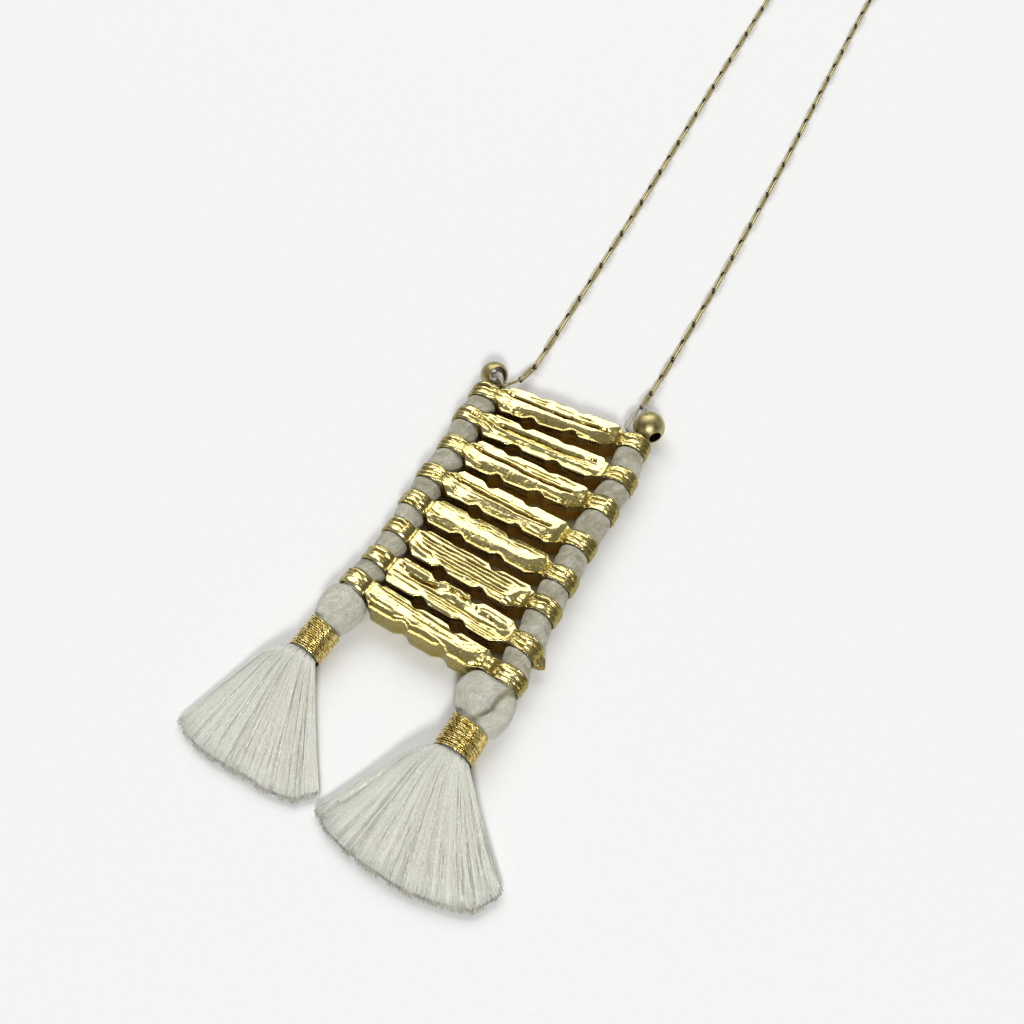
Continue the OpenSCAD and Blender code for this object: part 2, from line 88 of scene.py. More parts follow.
# The neck's edges at the eye, where it starts and where it widens, its underside, and how much wider than
# the eye's bore it is cut
NECK = (-1.15, 1.45, 1.2, 2.45)
NECK_LOW = 0.5
NECK_CLEAR = 0.05
# The seventh bar's spur: its outline from the right eye's middle, its underside and top, and how steeply
# the top falls outwards and rises across from a line
SPUR_BAR = 6
SPUR = ((2.35, 0.25), (3.25, 0.5), (4.05, -0.55), (3.2, -1.1), (2.35, -1.3))
SPUR_RISE = (1.3, 3.3)
SPUR_FALL = (0.62, 0.25, -0.4)

# Cast relief of each bar. A row is a ridge, or a groove where its height is negative: its height, its
# width above and below its line, and the line, as places along and across the bar
RELIEF = (
    (
        (-0.40, 0.40, 0.30, ((-1.8, 1.2), (-0.4, 1.75), (0.9, 1.45), (2.4, 1.0), (5, 0.85), (8, 0.62),
                             (12, 0.4), (16, 0.35), (21.5, 0.55))),
        (-0.22, 0.22, 0.22, ((-1.5, 0.45), (0.3, 0.5), (1.3, -0.1), (2.6, -0.5))),
        (-0.16, 0.15, 0.15, ((6.6, 1.95), (10.6, 1.75))),
        (-0.16, 0.14, 0.14, ((8, 1.4), (10.5, 1.3))),
        (-0.18, 0.15, 0.15, ((11.5, 1.55), (15.5, 1.35))),
        (-0.20, 0.16, 0.16, ((15.5, 1.3), (18.8, 1.25))),
        (0.12, 0.50, 0.50, ((2.8, -1.2), (4, -1.6), (6.0, -1.5))),
        (-0.18, 0.16, 0.16, ((3.0, -1.9), (5.6, -1.9), (7.5, -1.4))),
        (0.25, 0.30, 0.35, ((15.8, -1.5), (17.6, -1.75), (19.6, -1.8))),
    ),
    (
        (0.10, 0.22, 0.22, ((2, 0.75), (5, -0.05), (8, -0.4), (14, -0.5), (22, -0.3))),
        (-0.20, 0.16, 0.16, ((1.5, 0.95), (3.5, 0.5), (7, 0.2))),
        (-0.22, 0.16, 0.16, ((2.0, 0.35), (4.5, -0.45), (7, -0.75))),
        (-0.22, 0.16, 0.16, ((2.5, -0.3), (4.0, -1.0), (5.5, -1.7))),
        (-0.14, 0.14, 0.14, ((4, 1.6), (7.5, 1.7))),
        (-0.20, 0.50, 0.42, ((5.2, 0.6), (9, 0.5), (16, 0.42), (20, 0.5))),
        (-0.45, 0.35, 0.35, ((21.2, 1.05), (22.2, 0.95))),
        (0.15, 0.25, 0.25, ((20.4, 0.6), (22.6, 0.55))),
    ),
    (
        (-0.40, 0.38, 0.30, ((-1.7, 1.0), (-0.3, 1.4), (1.2, 1.05), (5, 0.75), (9, 0.55), (12.5, 0.15),
                             (16, 0.08), (21, 0.15))),
        (0.12, 0.50, 0.50, ((2.6, -1.0), (4, -1.7), (6, -1.7))),
        (-0.16, 0.15, 0.15, ((2.6, -0.5), (4.0, -1.2), (5.5, -2.2))),
        (0.25, 0.28, 0.28, ((16, -1.6), (19.8, -1.75))),
        (-0.20, 0.16, 0.16, ((5, 0.75), (6.2, 0.5), (9, 0.55))),
        (-0.18, 0.15, 0.15, ((8, 1.35), (13, 1.1))),
        (-0.20, 0.16, 0.16, ((12, 1.45), (18, 1.25))),
        (-0.18, 0.14, 0.14, ((13, 0.75), (19, 0.6))),
        (-0.20, 0.16, 0.16, ((17.5, 1.7), (21, 1.4))),
    ),
    (
        (-0.36, 0.34, 0.30, ((1.8, 0.9), (5, 0.8), (8, 0.62), (12, 0.35), (17, 0.2), (21, 0.35))),
        (-0.18, 0.15, 0.15, ((2.2, 1.55), (5, 1.35), (8, 1.15), (13, 0.9), (19, 0.6))),
        (0.12, 0.50, 0.50, ((2.8, -0.8), (5, -1.5), (8, -1.6))),
        (-0.16, 0.15, 0.15, ((2.4, -0.4), (4.0, -0.9), (5.5, -1.5))),
        (0.10, 0.25, 0.25, ((3, 0.2), (9, -0.1), (15, -0.25), (21, -0.1))),
        (-0.18, 0.20, 0.20, ((20.2, -2.2), (21, -1.4), (21.8, -0.8))),
        (0.18, 0.30, 0.30, ((17.6, -1.4), (19.6, -1.7))),
    ),
    (
        (-0.25, 0.16, 0.16, ((3, 1.45), (6.5, 1.5))),
        (-0.25, 0.16, 0.16, ((10.3, 1.25), (12.5, 1.65), (15.3, 1.35))),
        (-0.25, 0.16, 0.16, ((16.8, 1.3), (19, 1.55), (22, 1.5))),
        (-0.25, 0.18, 0.18, ((2.4, 0.1), (3.6, -0.3), (5, -0.5))),
        (0.15, 0.22, 0.22, ((2.2, -0.5), (4.0, -0.55))),
        (-0.10, 0.30, 0.30, ((6, 0.9), (13, 0.95), (19, 0.85))),
    ),
    (
        (-0.34, 0.17, 0.17, ((2.3, 1.6), (8, 1.62), (12, 1.5), (15.0, 1.25))),
        (-0.34, 0.17, 0.17, ((16.6, 1.3), (19, 1.4), (22, 1.3))),
        (-0.30, 0.20, 0.18, ((3, 0.95), (6, 0.75), (10, 0.8), (15, 0.75), (20, 0.65))),
        (-0.26, 0.16, 0.16, ((4, 0.25), (8, 0.2), (12, 0.2), (20, 0.05))),
        (-0.30, 0.18, 0.18, ((4.5, -0.4), (8, -0.5), (12, -0.45), (20, -0.55))),
        (-0.24, 0.16, 0.16, ((7, -1.05), (12, -1.1), (20, -1.15))),
        (-0.26, 0.22, 0.16, ((8, -1.6), (12, -1.65), (16, -1.6), (21, -1.7))),
        (0.28, 0.60, 0.55, ((3.6, -1.3), (5.0, -1.9), (6.4, -2.0))),
        (-0.26, 0.18, 0.18, ((3.4, -0.9), (5.0, -1.2), (6.6, -1.3), (7.4, -2.0))),
        (0.12, 0.30, 0.30, ((8.5, -2.1), (12, -2.2))),
        (0.15, 0.30, 0.30, ((18, -2.1), (21.5, -2.1))),
        (-0.22, 0.30, 0.20, ((13, -2.3), (14.6, -2.0))),
    ),
    (
        (0.28, 0.70, 0.60, ((3.2, 1.15), (6, 1.3), (8.8, 1.1))),
        (-0.34, 0.24, 0.24, ((3.6, 1.15), (4.4, 0.9))),
        (-0.30, 0.22, 0.22, ((4.4, 0.6), (5.4, 0.45))),
        (-0.42, 0.30, 0.45, ((5.5, 0.2), (8, 0.1), (9.4, 0.4), (11.0, 0.5))),
        (0.30, 0.35, 0.30, ((8.8, 0.8), (10.2, 1.1), (11.8, 1.85), (13.8, 2.05), (15.8, 1.6), (16.6, 1.0))),
        (0.26, 0.60, 0.80, ((11.5, 0.4), (13.5, 0.75), (16, 0.5))),
        (-0.36, 0.24, 0.24, ((11.9, 1.45), (13.4, 1.4))),
        (-0.36, 0.24, 0.24, ((14.2, 1.35), (15.6, 1.4))),
        (0.26, 0.70, 0.80, ((17.8, 0.9), (20, 1.2), (23, 1.0))),
        (-0.28, 0.25, 0.25, ((17.2, 1.3), (17.6, 0.6))),
        (-0.28, 0.22, 0.22, ((19.6, 0.65), (20.8, 0.45))),
        (-0.24, 0.20, 0.18, ((3, -0.75), (7, -0.5), (12, -0.45), (18, -0.55), (22, -0.3))),
        (-0.22, 0.13, 0.13, ((9, -0.95), (17, -1.0), (23, -1.0))),
        (-0.22, 0.13, 0.13, ((3.5, -1.45), (8.6, -1.45))),
        (-0.22, 0.13, 0.13, ((9.8, -1.4), (16, -1.4))),
        (-0.20, 0.12, 0.12, ((17.6, -1.45), (23, -1.45))),
        (-0.20, 0.12, 0.12, ((17.8, -1.8), (22.5, -1.85))),
        (-0.20, 0.12, 0.12, ((17.5, -2.15), (21.8, -2.2))),
        (0.18, 0.40, 0.40, ((10, -1.9), (12, -2.1), (15, -2.0))),
    ),
    (
        (-0.26, 0.16, 0.16, ((2.8, 0.95), (5, 0.95), (9, 0.95), (14, 1.05), (18, 1.0), (20, 1.15))),
        (-0.16, 0.12, 0.12, ((5, 0.45), (9, 0.4), (12, 0.35))),
        (-0.14, 0.12, 0.12, ((3.5, 1.4), (8.5, 1.35))),
        (-0.16, 0.15, 0.15, ((10, -0.1), (14, -0.15), (18, 0.05))),
        (0.22, 0.22, 0.25, ((8.2, -1.6), (9.8, -1.15), (11.5, -1.4), (12.6, -1.15), (16.2, -1.1),
                            (17.4, -1.4))),
        (0.14, 0.40, 0.50, ((2.8, -1.0), (4, -1.5), (7.5, -1.6))),
        (-0.16, 0.15, 0.15, ((3.0, -0.75), (4.4, -1.1), (5.2, -2.0))),
    ),
)

# Flat facets that tilt towards the pendant's end. A row is a facet of a bar: how steep it is, its upper
# edge, and its lower edge, or nothing where it runs down to the lip along the bar's lower edge
FACETS = (
    (
        (0.38, ((5.2, -1.2), (6.4, -0.45), (9, -0.3), (15, -0.36), (18.8, -0.5), (20.3, 0.2), (21.6, 1.5),
                (23, 2.2), (27, 2.2)), None),
    ),
    (
        (0.46, ((4.8, 0.9), (6, 1.05), (9, 1.0), (16, 0.95), (19.6, 0.95), (20.4, 0.8)),
         ((4.8, 0.3), (9, 0.0), (16, -0.1), (20.4, 0.1))),
        (0.33, ((5.5, -0.5), (10, -0.7), (16, -0.76), (22.6, -0.6), (24, -0.6)),
         ((5.5, -1.4), (10, -1.5), (24, -1.5))),
    ),
    (
        (0.33, ((4.4, -1.3), (6, -0.5), (9, -0.42), (12, -0.48), (16, -0.6), (19.3, -0.6), (20.6, 0.0),
                (21.8, 1.2), (23, 1.9), (27, 2.2)), None),
    ),
    (
        (0.24, ((6.6, -0.8), (9.5, -0.35), (15, -0.42), (18, -0.7), (20.5, -0.5), (21.8, 0.6),
                (22.6, 1.9), (27, 2.2)), None),
    ),
    (
        (0.27, ((3.4, -1.1), (4.4, -0.4), (6, -0.2), (10, -0.16), (19, -0.14), (20.5, 0.1), (21.5, 0.9),
                (22.6, 1.9), (27, 2.2)), None),
    ),
    (
        (0.28, ((11, -1.75), (14, -1.85), (17.5, -1.8), (20, -1.6), (20.9, -0.6), (21.6, 0.5),
                (22.6, 1.0), (27, 1.3)), None),
    ),
    (
        (0.30, ((18.4, -0.32), (21, -0.15), (23, 0.2), (24.6, 0.6), (28, 1.0)),
         ((18.4, -0.85), (23, -0.8), (28, -0.9))),
    ),
    (
        (0.34, ((2.8, -0.6), (6, -0.62), (9, -0.72), (14, -0.66), (18, -0.5), (20, -0.3), (21.6, 0.3),
                (23, 1.2), (25, 1.6), (29, 1.8)), None),
    ),
)
# The ends of each bar: where its right end starts to fall, at its lower and at its upper edge, how
# steeply it falls there, and the depth of the dip between its left eye and its block
ENDS = (
    (20.8, 22.3, 0.30, 0.0),
    (23.0, 23.2, 0.34, 0.0),
    (20.6, 22.6, 0.30, 0.0),
    (21.6, 22.4, 0.32, 0.12),
    (21.2, 21.9, 0.26, 0.42),
    (20.8, 23.4, 0.26, 0.5),
    (23.8, 22.8, 0.30, 0.42),
    (21.8, 22.8, 0.30, 0.42),
)
# How far a face falls before the lip falls too, and where the dip lies and half its width
LIP = 0.4
DIP_AT = 1.95
DIP_HALF = 0.9
# The straps that run from an eye on to its bar: their height, their fall, where they leave the eye and
# how far they reach
STRAP_LEFT = (5.445, 0.2, 0.55, 5.2)
STRAP_RIGHT = (5.2, 0.51, 1.25, 3.4)
# Where an eye's grooves fade out on the left and on the right strap
CUTS_FADE = ((2.3, 3.6), (1.7, 2.5))
# Grooves round an eye: how far they go along the bar, their depth, place across it and half their width
EYE_REACH = 2.95
EYE_GROOVES = ((0.24, 0.0, 0.26), (0.14, -0.85, 0.24), (0.1, 0.8, 0.2))
# The rounding of an eye's rims: its radius, and how far from the eye's middle it starts
RIM_R = 0.42
RIM_AT = 0.93
# The lowest and the highest place on a bar, and the most that its relief sinks and rises
SKIN_RANGE = (0.02, 5.52)
LIFT_RANGE = (-1.5, 0.33)
# How much deeper the tone of a facet is, as painted shade
FACET_SHADE = 0.11
# How steeply a bar's face falls to its far edge, above a line
FAR_SLOPES = ((0.0, 9.0), (0.0, 9.0), (0.0, 9.0), (0.0, 9.0), (0.40, 1.5), (0.15, 1.6), (0.0, 9.0),
              (0.0, 9.0))

# How much painted shade darkens a crease between two folds, how wide it reaches, and the corners of the area
# it lies in
CREASE_SHADE = 0.36
CREASE_WIDTH = 0.75
CREASE_AREA = ((8.0, -34.0), (20.0, -23.0))

# Radius of a stray fibre
STRAY_R = 0.018

# Cords: the sections of their top ends, as how far above the first eye and the radius, the radius under
# which a cord is held tight, its radius in an eye and between the bars, and the stretch before its lower
# end over which its twist opens out
CORD_TOP = ((2.2, 0.9), (2.1, 1.6), (1.85, 1.95))
CORD_TIGHT = 2.08
CORD_IN_EYE = 2.11
CORD_LOOSE = 2.52
CORD_OPENS = (13, 9)
# Lower ends of the cords. A row is a section: x, y, height, turn, half width and half height
LEFT_END = (
    (-12.4, -22.4, 2.8, -4, 3.1, 2.6),
    (-12.3, -24.0, 2.8, -3, 3.75, 2.75),
    (-12.35, -25.8, 2.8, -3, 3.6, 2.75),
    (-12.45, -27.2, 2.8, -3, 3.15, 2.65),
    (-12.5, -27.95, 2.8, -3, 2.75, 2.5),
    (-12.52, -28.4, 2.8, -3, 2.15, 2.15),
    (-12.65, -31.1, 2.8, -3, 2.15, 2.15),
)
RIGHT_END = (
    (14.6, -24.55, 2.85, -20, 2.3, 2.3),
    (13.6, -25.2, 3.05, -30, 2.95, 2.8),
    (12.85, -26.25, 3.15, -22, 3.3, 3.0),
    (12.5, -27.4, 3.15, -8, 3.3, 3.0),
    (12.8, -28.7, 3.15, 8, 3.05, 2.85),
    (13.2, -29.8, 3.15, 16, 2.4, 2.4),
    (13.6, -30.8, 3.2, 14, 1.75, 1.85),
    (14.2, -32.2, 3.25, 4, 1.8, 1.8),
    (14.47, -34.3, 3.25, 0.5, 2.0, 2.0),
)
# The strand that lies folded beside the right cord's lower end
RIGHT_FOLD = (
    (16.1, -23.9, 2.4, -5, 1.5, 1.6),
    (16.4, -25.2, 2.2, 3, 1.8, 1.9),
    (16.7, -26.7, 2.15, 4, 1.95, 2.0),
    (16.85, -28.2, 2.2, 0, 2.0, 2.0),
    (16.6, -29.5, 2.4, -8, 2.05, 2.1),
    (16.1, -30.8, 2.7, -20, 2.1, 2.2),
    (15.3, -31.9, 3.0, -20, 2.05, 2.2),
    (14.85, -33.1, 3.2, -10, 2.2, 2.2),
    (14.7, -34.3, 3.25, 0, 2.2, 2.2),
)

# Windings and tassels: the winding's upper and lower end and its radius, the way the tassel points, how
# far it fans to either side, how far its left edge swells out, and its length from left to right
TASSELS = {
    "left": ((-12.5, -28.3), (-12.8, -34.1), 2.8, -85.5, 35.5, 2.0,
             (20.2, 20.3, 20, 19.8, 20, 21.2, 22.2, 21.4)),
    "right": ((14.45, -31.6), (14.5, -37.1), 3.25, -84.0, 45.5, 1.8,
              (20.4, 20.1, 19.4, 19.3, 19.9, 20.7, 22, 20.6)),
}
# Thickness of a winding
WRAP_WALL = 0.5
# Locks into which a tassel's threads are gathered
LOCKS = 84
# Short threads that fill the cut end of a tassel
END_THREADS = 1000
# Where the long and the short threads start, their stations, the first and the last of the levels at
# which they lie, and how much they gather near the first
LONG_RUN = (-0.12, 8, (0.98, 0.62), 2.4)
SHORT_RUN = (0.82, 3, (0.9, -0.9), 1.3)
# How far the threads on top of a tassel reach, as a share of those beneath
CUT_SLOPE = 0.965
# How a tassel flattens. A row is a reach, then the height of its middle and half its thickness there, as
# shares of the winding's radius
SKIRT_ROWS = ((0.008, 1, 0.77), (0.05, 0.94, 0.94), (0.14, 0.8, 0.82), (0.3, 0.6, 0.62),
              (0.5, 0.46, 0.47), (0.75, 0.36, 0.37), (0.95, 0.3, 0.3), (1, 0.26, 0.2))

# Beads: the middle, the radius, the way that the hole points and its radius
BEADS = {
    "left": ((-15.3, 25.2, 2.35), 2.3, (0.634, -0.295, 0.719), 1.3),
    "right": ((11.95, 28.3, 2.65), 2.6, (0.776, -0.623, 0.09), 1.0),
}

# Threads at the beads: spacing of their sections, plies, sides of a ply, and a ply's distance from the
# middle and its radius, as shares of the thread's radius
THREAD_STEP = 0.1
PLIES = 5
PLY_SIDES = 10
PLY_AT = 0.52
PLY_R = 0.44
# Their routes: x, y, height and radius
THREADS = {
    "left": (
        (-14.0, 22.87, 2.85, 0.36), (-13.2, 22.82, 2.75, 0.33), (-12.5, 22.8, 2.75, 0.27),
        (-12.15, 23.02, 2.97, 0.18), (-12.44, 23.29, 3.32, 0.12), (-12.75, 23.55, 3.68, 0.2),
        (-13.25, 23.95, 4.1, 0.42), (-14.0, 24.6, 3.85, 0.55), (-15.0, 25.05, 2.7, 0.55),
        (-16.0, 25.5, 1.55, 0.5),
    ),
    "right": (
        (10.1, 25.75, 2.7, 0.38), (9.3, 26.1, 2.65, 0.42), (8.65, 27.1, 2.6, 0.48),
        (8.6, 28.3, 2.55, 0.5), (8.6, 29.5, 2.4, 0.46), (8.55, 30.6, 2.0, 0.36), (8.5, 31.25, 1.75, 0.25),
        (8.62, 31.7, 1.75, 0.18), (8.93, 31.9, 2.03, 0.12), (9.25, 31.95, 2.38, 0.18),
        (9.65, 31.4, 2.6, 0.3), (9.8, 30.6, 2.6, 0.4), (10.5, 29.45, 2.5, 0.5), (12.3, 28.0, 2.75, 0.5),
    ),
}

# Links: the spacing of their joints, how far all lean to one side, in degrees, the radius of their ends
# and of their wire, how far they reach past a joint, and where their pressed sides start and end
LINK_PITCH = 4.35
LINK_LEAN = 10
LINK_R = 0.395
LINK_PRESSED = 0.175
LINK_REACH = 0.33
LINK_CUTS = (1.12, 1.55)
# Heights of the chain and of its ends at the clasp
CHAIN_Z = 0.5
CLASP_Z = 0.85
# The clasp: the height of its middle, the radius and the wire of its rings, how far they lap over the
# last links, and the turned outline of either end, as radius and place along it
CLASP_MIDDLE = 1.1
RING_R = 0.75
RING_WIRE = 0.145
RING_LAP = 0.22
CLASP_END = ((0.0, 1.1), (0.45, 1.13), (0.8, 1.25), (1.0, 1.5), (1.1, 1.9), (1.02, 2.3))
# The chain's round end: its middle and radius, and the turns at which it is drawn, in degrees
DROP = (-10, 300, 30)
DROP_TURNS = (10, -5, -20, -35, -50, -65, -80, -92)
# Each half of the chain: its links, the side on which it runs round the end, the turn of its first link,
# the next one being turned the other way, and its route
CHAINS = {
    "left": (
        74, -1, -45,
        ((-12.5, 23.1, 3.4), (-12, 24.5, 2.8), (-11.45, 26.2, 2.05), (-11.1, 28.2, 1.4),
         (-10.95, 30.4, 0.9), (-11, 33, 0.62), (-11.3, 37, 0.5), (-11.7, 45, 0.5), (-12.9, 69, 0.5),
         (-15, 101, 0.5), (-17.3, 138, 0.5), (-19.2, 170, 0.5), (-20.9, 200, 0.5), (-23.4, 225, 0.5),
         (-28.7, 250, 0.5), (-35.5, 275, 0.5)),
    ),
    "right": (
        73, 1, 45,
        ((8.95, 31.7, 2.1), (8.8, 33.4, 1.55), (8.6, 35.6, 0.98), (8.5, 38, 0.65), (8.4, 41, 0.5),
         (8.3, 44, 0.5), (7.3, 66, 0.5), (5.2, 96, 0.5), (2.9, 122, 0.5), (0.7, 149, 0.5),
         (-0.5, 175, 0.5), (0, 200, 0.5), (3.4, 225, 0.5), (8.7, 250, 0.5), (15.5, 275, 0.5)),
    ),
}

# Camera, found from the rows of eyes and notches in the photo, in a picture 1024 wide and high
CAMERA_AT = (64.6, -106.6, 195.5)
CAMERA_TURN = 120.13
CAMERA_DOWN = 56.7
FOCAL_SHARE = 1480 / 1024
# Lamps: whether one stands on the far side, 1, or on the camera's side, -1, how high, in degrees, how far
# off, its width and height in metres, and its power. A softbox behind the necklace, which its flats
# reflect, and a small lamp at the camera's side
LAMPS = (
    ("softbox", 1, 50, 1.2, 1.5, 0.9, 10.6),
    ("front_lamp", -1, 40, 1.4, 0.25, 0.25, 10.5),
)
SKY_LIGHT = 0.2


def linear(code):
    """Linear red, green, blue and alpha of an sRGB hex value."""
    parts = [int(code[i : i + 2], 16) / 255 for i in (1, 3, 5)]
    return tuple(p / 12.92 if p <= 0.04045 else ((p + 0.055) / 1.055) ** 2.4 for p in parts) + (1.0,)


def smooth_step(x, low, high):
    """0 below low, 1 above high and a smooth rise between them."""
    t = np.clip((x - low) / (high - low), 0.0, 1.0)
    return t * t * (3 - 2 * t)


def lattice(ix, iy, iz, seed):
    """A fixed pseudo-random value from -1 to 1 for each whole-number place."""
    h = (ix * 374761393 + iy * 668265263 + iz * 2147483647 + seed * 974634777) & 0xFFFFFFFF
    h = ((h ^ (h >> 13)) * 1274126177) & 0xFFFFFFFF
    h = h ^ (h >> 16)
    return (h & 0xFFFF) / 32767.5 - 1.0


def grain(x, y, z, seed):
    """Smooth noise from -1 to 1 at arrays of places."""
    x, y, z = np.broadcast_arrays(np.asarray(x, float), np.asarray(y, float), np.asarray(z, float))
    ix, iy, iz = (np.floor(a).astype(np.int64) for a in (x, y, z))
    fx, fy, fz = (a - b for a, b in ((x, ix), (y, iy), (z, iz)))
    fx, fy, fz = (f * f * (3 - 2 * f) for f in (fx, fy, fz))
    total = np.zeros(x.shape)
    for dx in (0, 1):
        for dy in (0, 1):
            for dz in (0, 1):
                share = (fx if dx else 1 - fx) * (fy if dy else 1 - fy) * (fz if dz else 1 - fz)
                total += share * lattice(ix + dx, iy + dy, iz + dz, seed)
    return total


def curve_points(points, steps):
    """A smooth curve through points, in so many steps from each point to the next."""
    p = [np.array(q, float) for q in points]
    out = []
    for i in range(len(p) - 1):
        a, b, c, d = p[max(i - 1, 0)], p[i], p[i + 1], p[min(i + 2, len(p) - 1)]
        square, cube = 2 * a - 5 * b + 4 * c - d, 3 * b - a - 3 * c + d
        for k in range(steps):
            t = k / steps
            out.append(0.5 * (2 * b + (c - a) * t + square * t * t + cube * t**3))
    out.append(p[-1])
    return np.array(out)


def distances(path):
    """How far along a line of points each of them lies."""
    return np.concatenate([[0], np.cumsum(np.linalg.norm(np.diff(path, axis=0), axis=1))])


def along(points, spacing):
    """Points every so far along a line of points, each with all of its columns."""
    run = distances(points[:, :3])
    places = np.arange(0, run[-1] + spacing * 0.5, spacing).clip(0, run[-1])
    return np.stack([np.interp(places, run, points[:, k]) for k in range(points.shape[1])], axis=1)


def placed(points):
    """Millimetres from the pendant's middle, as metres in the frame."""
    return (np.asarray(points, float) - np.array([*MIDDLE, 0.0])) * MM


def set_in_place(mesh, at, turn):
    """Turns a mesh in millimetres and moves it to its place in the frame."""
    mesh.transform(Matrix.Translation(placed(at)) @ turn @ Matrix.Scale(MM, 4))


def aimed(at, look):
    """Where a lamp or camera stands, and its turn when it looks this way."""
    return Matrix.Translation(at) @ look.to_track_quat("-Z", "Y").to_matrix().to_4x4()


def deselect():
    """Leaves nothing selected and no mode open."""
    if bpy.context.object is not None and bpy.context.object.mode != "OBJECT":
        bpy.ops.object.mode_set(mode="OBJECT")
    bpy.ops.object.select_all(action="DESELECT")


def pick(obj):
    """Makes obj the only selected and the active object."""
    deselect()
    obj.select_set(True)
    bpy.context.view_layer.objects.active = obj


def join(objs):
    """Joins objects into the first one."""
    deselect()
    for o in objs:
        o.select_set(True)
    bpy.context.view_layer.objects.active = objs[0]
    bpy.ops.object.join()
    return bpy.context.object


def finish_modifiers(obj):
    """Applies every modifier of obj, in order."""
    pick(obj)
    for modifier in list(obj.modifiers):
        bpy.ops.object.modifier_apply(modifier=modifier.name)


def coordinates(mesh):
    """The places of a mesh's vertices, one row for each."""
    co = np.empty(len(mesh.vertices) * 3)
    mesh.vertices.foreach_get("co", co)
    return co.reshape(-1, 3)


def set_coordinates(mesh, co):
    """Moves a mesh's vertices to new places."""
    mesh.vertices.foreach_set("co", np.ascontiguousarray(co, float).ravel())
    mesh.update()


def vertex_normals(mesh):
    """The normals of a mesh's vertices, one row for each."""
    normals = np.empty(len(mesh.vertices) * 3, np.float32)
    mesh.vertex_normals.foreach_get("vector", normals)
    return normals.reshape(-1, 3).astype(float)


def store(mesh, name, values):
    """Keeps a number, or three numbers, for each vertex, for a material to read."""
    values = np.asarray(values, np.float32)
    kind = "FLOAT_VECTOR" if values.ndim == 2 else "FLOAT"
    attribute = mesh.attributes.get(name) or mesh.attributes.new(name, kind, "POINT")
    attribute.data.foreach_set("vector" if values.ndim == 2 else "value", values.ravel())


def mesh_object(name, points, faces):
    """An object with a mesh of these points and faces."""
    mesh = bpy.data.meshes.new(name)
    mesh.from_pydata([tuple(p) for p in points], [], faces)
    mesh.update()
    obj = bpy.data.objects.new(name, mesh)
    bpy.context.collection.objects.link(obj)
    return obj


def tube_faces(rings, sides, first=0):
    """Faces of a closed tube of rings of points, with flat ends."""
    faces = []
    for i in range(rings - 1):
        for k in range(sides):
            a = first + i * sides + k
            b = first + i * sides + (k + 1) % sides
            faces.append((a, b, b + sides, a + sides))
    faces.append(tuple(first + k for k in range(sides - 1, -1, -1)))
    faces.append(tuple(first + (rings - 1) * sides + k for k in range(sides)))
    return faces


def face_outwards(obj):
    """Turns the faces of obj outwards."""
    pick(obj)
    bpy.ops.object.mode_set(mode="EDIT")
    bpy.ops.mesh.select_all(action="SELECT")
    bpy.ops.mesh.normals_make_consistent(inside=False)
    bpy.ops.object.mode_set(mode="OBJECT")


def finish_piece(obj, name, material, slot, *nodes):
    """Puts a modelled piece in place of its solids, with its finish."""
    pick(obj)
    bpy.ops.object.transform_apply(location=True, rotation=True, scale=True)
    obj.name = name
    obj.data.name = name
    obj.data.materials.clear()
    obj.data.materials.append(material)
    bpy.ops.object.shade_smooth()
    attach(obj, "root")
    if nodes:
        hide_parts(*nodes)
    return obj


def feed(tree, node, links):
    """Links values to a node's inputs."""
    for key, source in links.items():
        tree.links.new(source, node.inputs[key])


def add_node(tree, kind, links=None, **settings):
    """Adds a node, sets its properties and sockets, and links its inputs. A setting such as i1 is the
    socket of that number."""
    node = tree.nodes.new(kind)
    for key, value in settings.items():
        if hasattr(node, key):
            setattr(node, key, value)
        else:
            numbered = key[0] == "i" and key[1:].isdigit()
            node.inputs[int(key[1:]) if numbered else key.replace("_", " ")].default_value = value
    feed(tree, node, links or {})
    return node


def new_material(name, **shader):
    """A material with its Principled shader, whose even values are set on the shader itself."""
    material = bpy.data.materials.new(name)
    material.use_nodes = True
    tree = material.node_tree
    tree.nodes.clear()
    surface = add_node(tree, "ShaderNodeBsdfPrincipled", **shader)
    add_node(tree, "ShaderNodeOutputMaterial", {"Surface": surface.outputs[0]})
    return material, tree, surface


def made_once(name, make):
    """The material of this name, made if it isn't there yet."""
    return bpy.data.materials.get(name) or make()


def colour_ramp(tree, source, *stops):
    """A ramp over a value. A stop is its place and its colour."""
    ramp = add_node(tree, "ShaderNodeValToRGB", {"Fac": source})
    elements = ramp.color_ramp.elements
    stops = [(place, tuple(colour)) for place, colour in stops]
    elements[0].position, elements[0].color = stops[0]
    elements[1].position, elements[1].color = stops[-1]
    for place, colour in stops[1:-1]:
        elements.new(place).color = colour
    return ramp.outputs["Color"]


def vertex_value(tree, name, output="Fac"):
    """A value kept for each vertex of a mesh."""
    return add_node(tree, "ShaderNodeAttribute", attribute_name=name).outputs[output]


def noise(tree, place, scale, detail, **settings):
    """Noise over places."""
    return add_node(
        tree, "ShaderNodeTexNoise", {"Vector": place}, Scale=scale, Detail=detail, **settings
    ).outputs["Fac"]


def stretched(tree, place, scale):
    """Places stretched by a scale for each axis."""
    return add_node(tree, "ShaderNodeMapping", {"Vector": place}, Scale=scale).outputs[0]


def ranged(tree, value, low, high, to_low=0.0, to_high=1.0):
    """A value taken from one range to another and held at its ends."""
    return add_node(
        tree, "ShaderNodeMapRange", {"Value": value}, i1=low, i2=high, i3=to_low, i4=to_high
    ).outputs[0]


def times_and_plus(tree, value, factor, added):
    """A value times a number, and another value added."""
    return add_node(
        tree, "ShaderNodeMath", {0: value, 2: added}, operation="MULTIPLY_ADD", i1=factor
    ).outputs[0]


